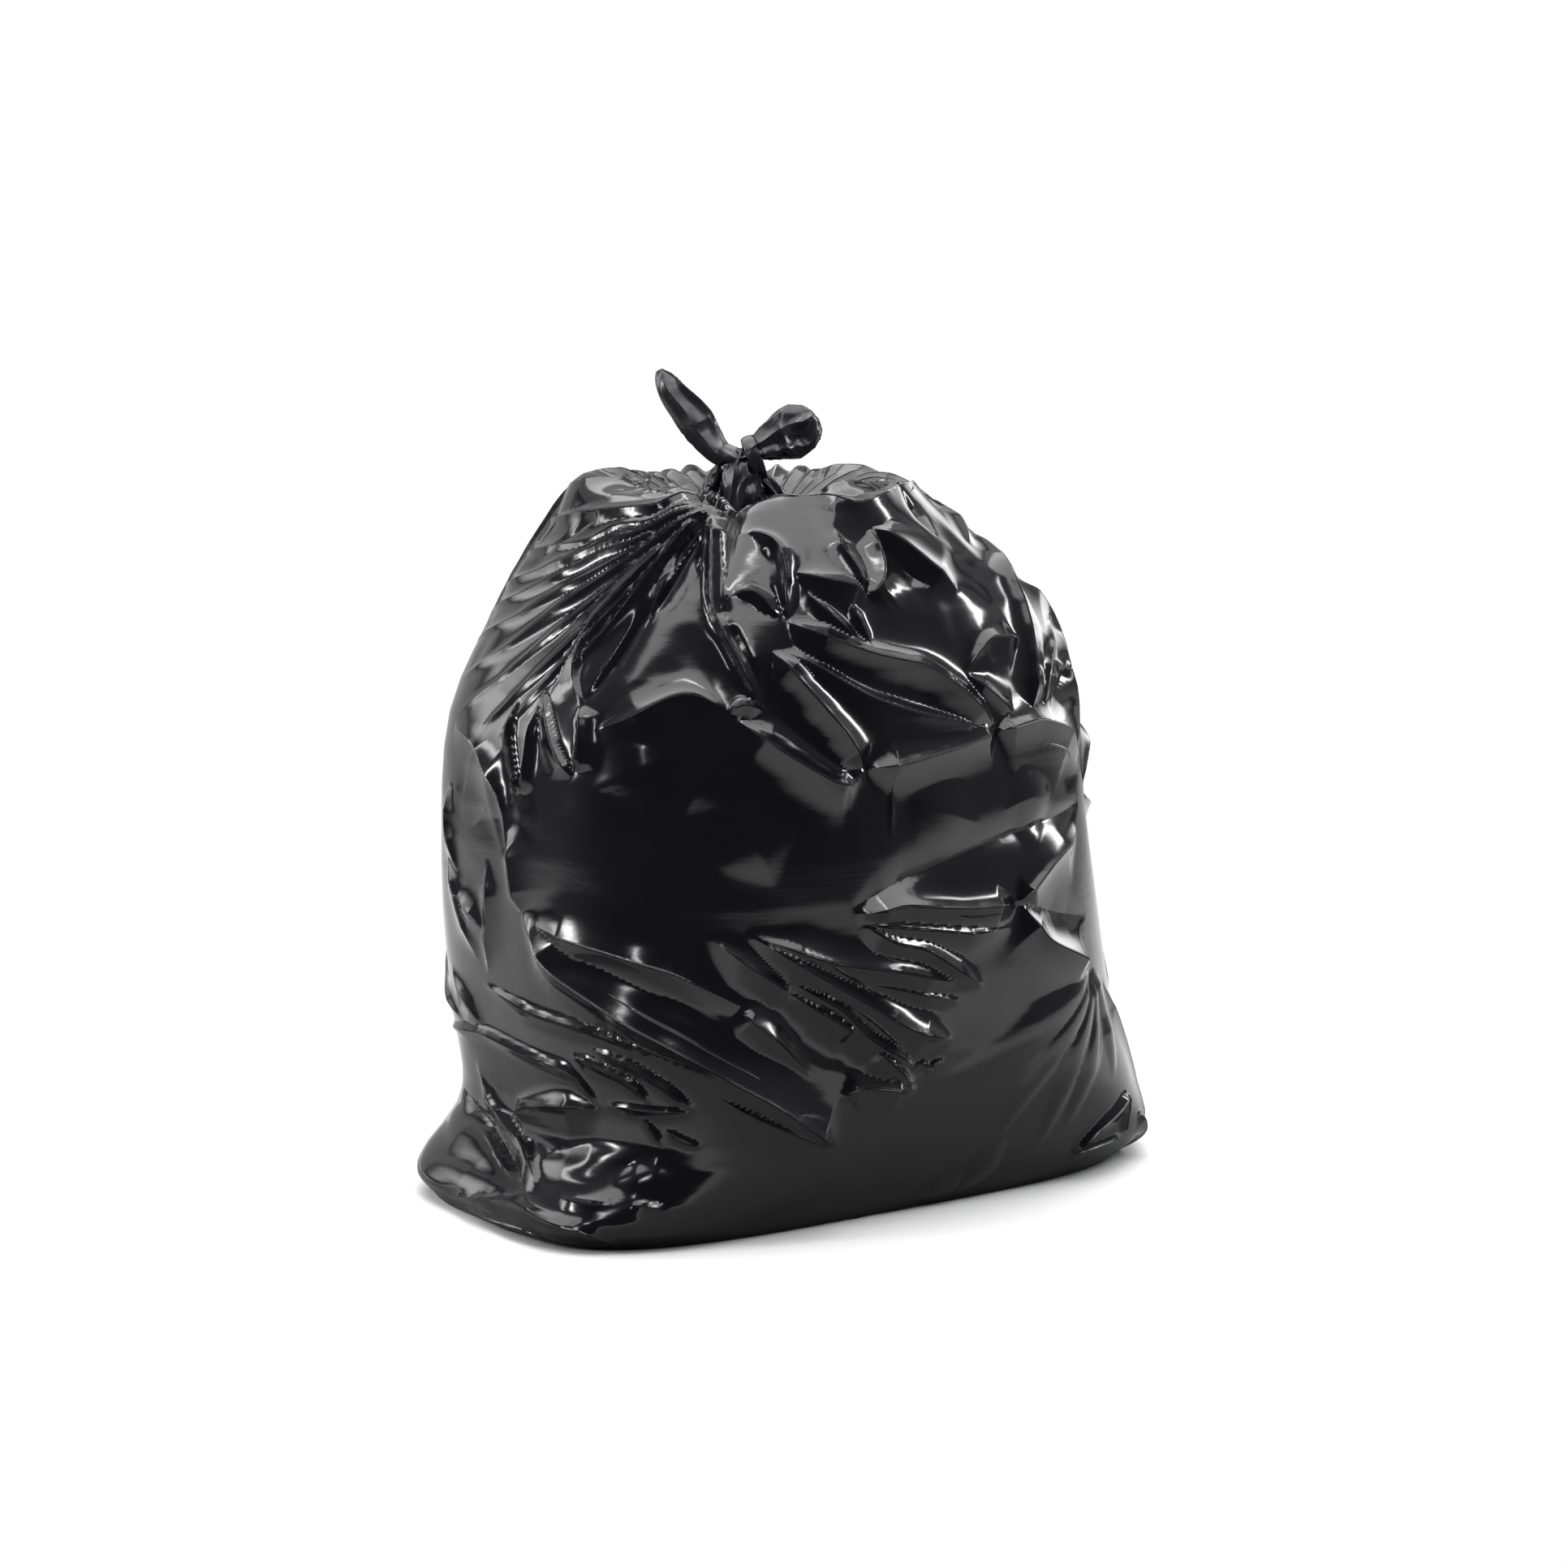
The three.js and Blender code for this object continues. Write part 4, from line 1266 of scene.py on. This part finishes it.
class BINBAG_OT_film(bpy.types.Operator):
    """Makes the bag of film and settles its folds"""

    bl_idname = "binbag.film"
    bl_label = "Bag of film"

    def execute(self, context):
        settings = context.scene.binbag_film
        form = BagForm()
        lines = crease_lines(form, settings)
        folds = FoldGrid()
        for number, (crease, line) in enumerate(lines):
            if not is_soft(crease):
                folds.follow(line, number + 1)
        routes = [grid_sample(form.points, *line) for _, line in lines]
        form.points = folds.sampled(form.points)
        form.measure()
        field = FilmField(form, settings.boost, settings.width)
        for number, (crease, line) in enumerate(lines):
            free = np.ones(line.shape[1]) if is_soft(crease) else folds.freedom(line, number + 1)
            field.add(routes[number], crease, free)
        field.steer()
        points = settle(form, field, settings)
        for panel in film_panels(points, field.lines, folds.triangles(), film_material(settings)):
            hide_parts(BAG_NODE)
        return {"FINISHED"}


class BINBAG_OT_knot(bpy.types.Operator):
    """Makes the knot: the gathered neck, the two ears and the band that ties them"""

    bl_idname = "binbag.knot"
    bl_label = "Knot"

    def execute(self, context):
        camera = PhotoCamera()
        middle = neck_middle()
        material = bpy.data.materials[FILM_SLOT]
        for name, gather in KNOT.items():
            tube_mesh(name, gather_points(camera, middle, gather), material)
        tube_mesh("strap", strap_points(camera, middle), material)
        return {"FINISHED"}


# The stage, in metres. A light faces its target. Its brightness is a share of one of the settings, and
# its edge is the share of its size over which it softens.
Light = namedtuple("Light", "place target size setting share edge")
LIGHTS = {
    "overhead": Light((0.1, 0.1, 2.1), (0, 0, 0.2), (3.0, 3.4), "overhead", 1, 0.06),
    "left_panel": Light((-1.25, 1.65, 0.8), (0, 0, 0.3), (1.6, 1.5), "panels", 1, 0.4),
    "right_panel": Light((1.95, 0.7, 0.8), (0, 0, 0.3), (1.6, 1.5), "panels", 1, 0.4),
    "left_strip": Light((-2.1, 0.5, 1.0), (0, 0, 0.35), (0.35, 1.3), "strips", 1, 0.5),
    "front_left_strip": Light((-2.2, -1.2, 1.9), (0, 0, 0.35), (0.18, 1.0), "strips", 0.7, 0.5),
    "key": Light((-0.45, -1.75, 2.0), (0, 0, 0.35), (1.2, 0.32), "key", 1, 0.5),
    "top_strip": Light((-0.35, -0.5, 1.9), (0, 0, 0.35), (1.8, 0.12), "strips", 1, 0.5),
    "right_strip": Light((1.72, -0.77, 1.27), (0, 0, 0.35), (0.30, 1.7), "strips", 1, 0.5),
    "back_strip": Light((-1.55, 1.17, 1.14), (0, 0, 0.35), (0.30, 1.5), "strips", 0.25, 0.3),
}

# The floor's size, and distances from the bag's middle: where the paper turns to plain white, where its
# reflection ends, and where the reflection is darker next to the bag as painted shade, with its greys there
FLOOR_SIZE = (60, 60)
PAPER_EDGE = (0.36, 0.8)
REFLECTION_EDGE = (0.8, 2.6)
SHADE_EDGE = (0.33, 0.60)
SHADE_GREYS = (0.32, 0.62)

# How directly a wall faces the photograph's camera where the dark front starts and is full, and likewise
# the backdrop
FRONT_EDGE = (0.1, 0.75)
BACK_EDGE = (-0.2, -0.8)


class BINBAG_OT_stage(bpy.types.Operator):
    """Makes the floor, the lights and the camera"""

    bl_idname = "binbag.stage"
    bl_label = "Stage"

    def execute(self, context):
        settings = context.scene.binbag_stage
        scene = context.scene
        scene.view_settings.view_transform = "Standard"
        floor = flat_sheet("floor", FLOOR_SIZE, floor_material(settings))
        for name, light in LIGHTS.items():
            softbox(name, light, light.share * getattr(settings, light.setting))
        make_world(settings)
        make_camera()
        return {"FINISHED"}


def new_tree(data):
    """The emptied node tree of a material or world, to build on."""
    data.use_nodes = True
    data.node_tree.nodes.clear()
    return Nodes(data.node_tree)


def flat_sheet(name, size, material):
    """A rectangle that faces up."""
    x, y = size[0] / 2, size[1] / 2
    mesh = bpy.data.meshes.new(name)
    mesh.from_pydata([(-x, -y, 0), (x, -y, 0), (x, y, 0), (-x, y, 0)], [], [(0, 1, 2, 3)])
    mesh.materials.append(material)
    sheet = bpy.data.objects.new(name, mesh)
    bpy.context.scene.collection.objects.link(sheet)
    return sheet


def floor_material(settings):
    """A white floor to the camera. In what the film reflects it is dimmer, with painted shade next to the
    bag, and it ends not far from the bag."""
    material = bpy.data.materials.new("pale_floor")
    n = new_tree(material)
    seen = n.node("ShaderNodeLightPath", output="Is Camera Ray")
    place = n.node("ShaderNodeTexCoord", output="Object")
    away = n.node("ShaderNodeVectorMath", {"operation": "LENGTH"}, {0: place}, output="Value")
    far = smooth_range(n, away, *PAPER_EDGE)
    paper = n.node("ShaderNodeBsdfDiffuse", None, {"Color": (*settings.floor_colour, 1)})
    glow = n.node("ShaderNodeEmission", None, {"Color": (1, 1, 1, 1), "Strength": 1.0})
    shown = n.node("ShaderNodeMixShader", None, {0: far, 1: paper, 2: glow})
    further = smooth_range(n, away, *REFLECTION_EDGE)
    # Next to the bag the reflected floor is painted darker: painted shade of the bag
    near = smooth_range(n, away, *SHADE_EDGE, *SHADE_GREYS)
    shaded_reflection = n.node("ShaderNodeBsdfDiffuse", None, {"Color": near})
    gone = n.node("ShaderNodeBsdfTransparent")
    reflected = n.node("ShaderNodeMixShader", None, {0: further, 1: shaded_reflection, 2: gone})
    both = n.node("ShaderNodeMixShader", None, {0: seen, 1: reflected, 2: shown})
    n.node("ShaderNodeOutputMaterial", None, {"Surface": both}, output=None)
    return material


def softbox(name, light, brightness):
    """A lit rectangle, even in the middle and softer at its edges. The camera doesn't see it."""
    material = bpy.data.materials.new(name)
    n = new_tree(material)
    across = n.node("ShaderNodeSeparateXYZ", None, {0: n.node("ShaderNodeTexCoord", output="Generated")})
    sides = [n.node("ShaderNodeMath", {"operation": "PINGPONG"}, {0: Nodes(n.tree, socket), 1: 0.5})
             for socket in across.socket.node.outputs[:2]]
    lit = [smooth_range(n, side, 0.0, light.edge) for side in sides]
    glow = n.node("ShaderNodeEmission", None, {"Color": (1, 1, 1, 1), "Strength": brightness})
    dark = n.node("ShaderNodeEmission", None, {"Strength": 0.0})
    both = n.node("ShaderNodeMixShader", None, {0: lit[0] * lit[1], 1: dark, 2: glow})
    n.node("ShaderNodeOutputMaterial", None, {"Surface": both}, output=None)
    sheet = flat_sheet(name, light.size, material)
    sheet.location = light.place
    sheet.rotation_euler = (Vector(light.target) - Vector(light.place)).to_track_quat("Z", "Y").to_euler()
    sheet.visible_camera = False
    return sheet


def make_world(settings):
    """A white backdrop to the camera. The film reflects pale walls and a dark front on the photograph's
    side."""
    world = bpy.data.worlds.new("studio")
    bpy.context.scene.world = world
    n = new_tree(world)
    seen = n.node("ShaderNodeLightPath", output="Is Camera Ray")
    direction = n.node("ShaderNodeTexCoord", output="Generated")
    front = Vector((math.sin(HEADING), -math.cos(HEADING), 0))
    toward = n.node("ShaderNodeVectorMath", {"operation": "DOT_PRODUCT"}, {0: direction, 1: front},
                    output="Value")
    dark = smooth_range(n, toward, *FRONT_EDGE)
    pale = n.node("ShaderNodeBackground", None, {"Color": (1, 1, 1, 1), "Strength": 1.0})
    behind = smooth_range(n, toward, *BACK_EDGE)
    side = n.node("ShaderNodeBackground", None, {"Color": (0.96, 0.97, 1.0, 1), "Strength": settings.walls})
    back = n.node("ShaderNodeBackground", None, {"Color": (1, 1, 1, 1), "Strength": settings.back})
    wall = n.node("ShaderNodeMixShader", None, {0: behind, 1: side, 2: back})
    room = n.node("ShaderNodeBackground", None, {"Color": (0.92, 0.94, 1.0, 1), "Strength": settings.front})
    around = n.node("ShaderNodeMixShader", None, {0: dark, 1: wall, 2: room})
    both = n.node("ShaderNodeMixShader", None, {0: seen, 1: around, 2: pale})
    n.node("ShaderNodeOutputWorld", None, {"Surface": both}, output=None)


def make_camera():
    """The camera, where the photograph's camera stood."""
    data = bpy.data.cameras.new("camera")
    data.sensor_width = SENSOR
    data.lens = FOCAL_PIXELS / PHOTO_SIZE * SENSOR
    camera = bpy.data.objects.new("camera", data)
    camera.location = EYE
    camera.rotation_euler = PhotoCamera().ahead.to_track_quat("-Z", "Y").to_euler()
    bpy.context.scene.collection.objects.link(camera)
    bpy.context.scene.camera = camera


class BINBAG_PT_panel(bpy.types.Panel):
    """Lists the bag's settings and operators"""

    bl_idname = "BINBAG_PT_panel"
    bl_label = "Bin bag"
    bl_space_type = "VIEW_3D"
    bl_region_type = "UI"
    bl_category = "Bin bag"

    def draw(self, context):
        layout = self.layout
        for group in (context.scene.binbag_film, context.scene.binbag_stage):
            for name in group.bl_rna.properties.keys():
                if name not in ("rna_type", "name"):
                    layout.prop(group, name)
        for operator in OPERATORS:
            layout.operator(operator.bl_idname)


OPERATORS = (BINBAG_OT_film, BINBAG_OT_knot, BINBAG_OT_stage)
CLASSES = (FilmSettings, StageSettings, *OPERATORS, BINBAG_PT_panel)


def register():
    for made in CLASSES:
        bpy.utils.register_class(made)
    bpy.types.Scene.binbag_film = PointerProperty(type=FilmSettings)
    bpy.types.Scene.binbag_stage = PointerProperty(type=StageSettings)


def unregister():
    del bpy.types.Scene.binbag_film
    del bpy.types.Scene.binbag_stage
    for made in reversed(CLASSES):
        bpy.utils.unregister_class(made)


def main():
    """Makes the bag and its stage."""
    register()
    bpy.ops.binbag.film()
    bpy.ops.binbag.knot()
    bpy.ops.binbag.stage()


if __name__ == "__main__":
    main()
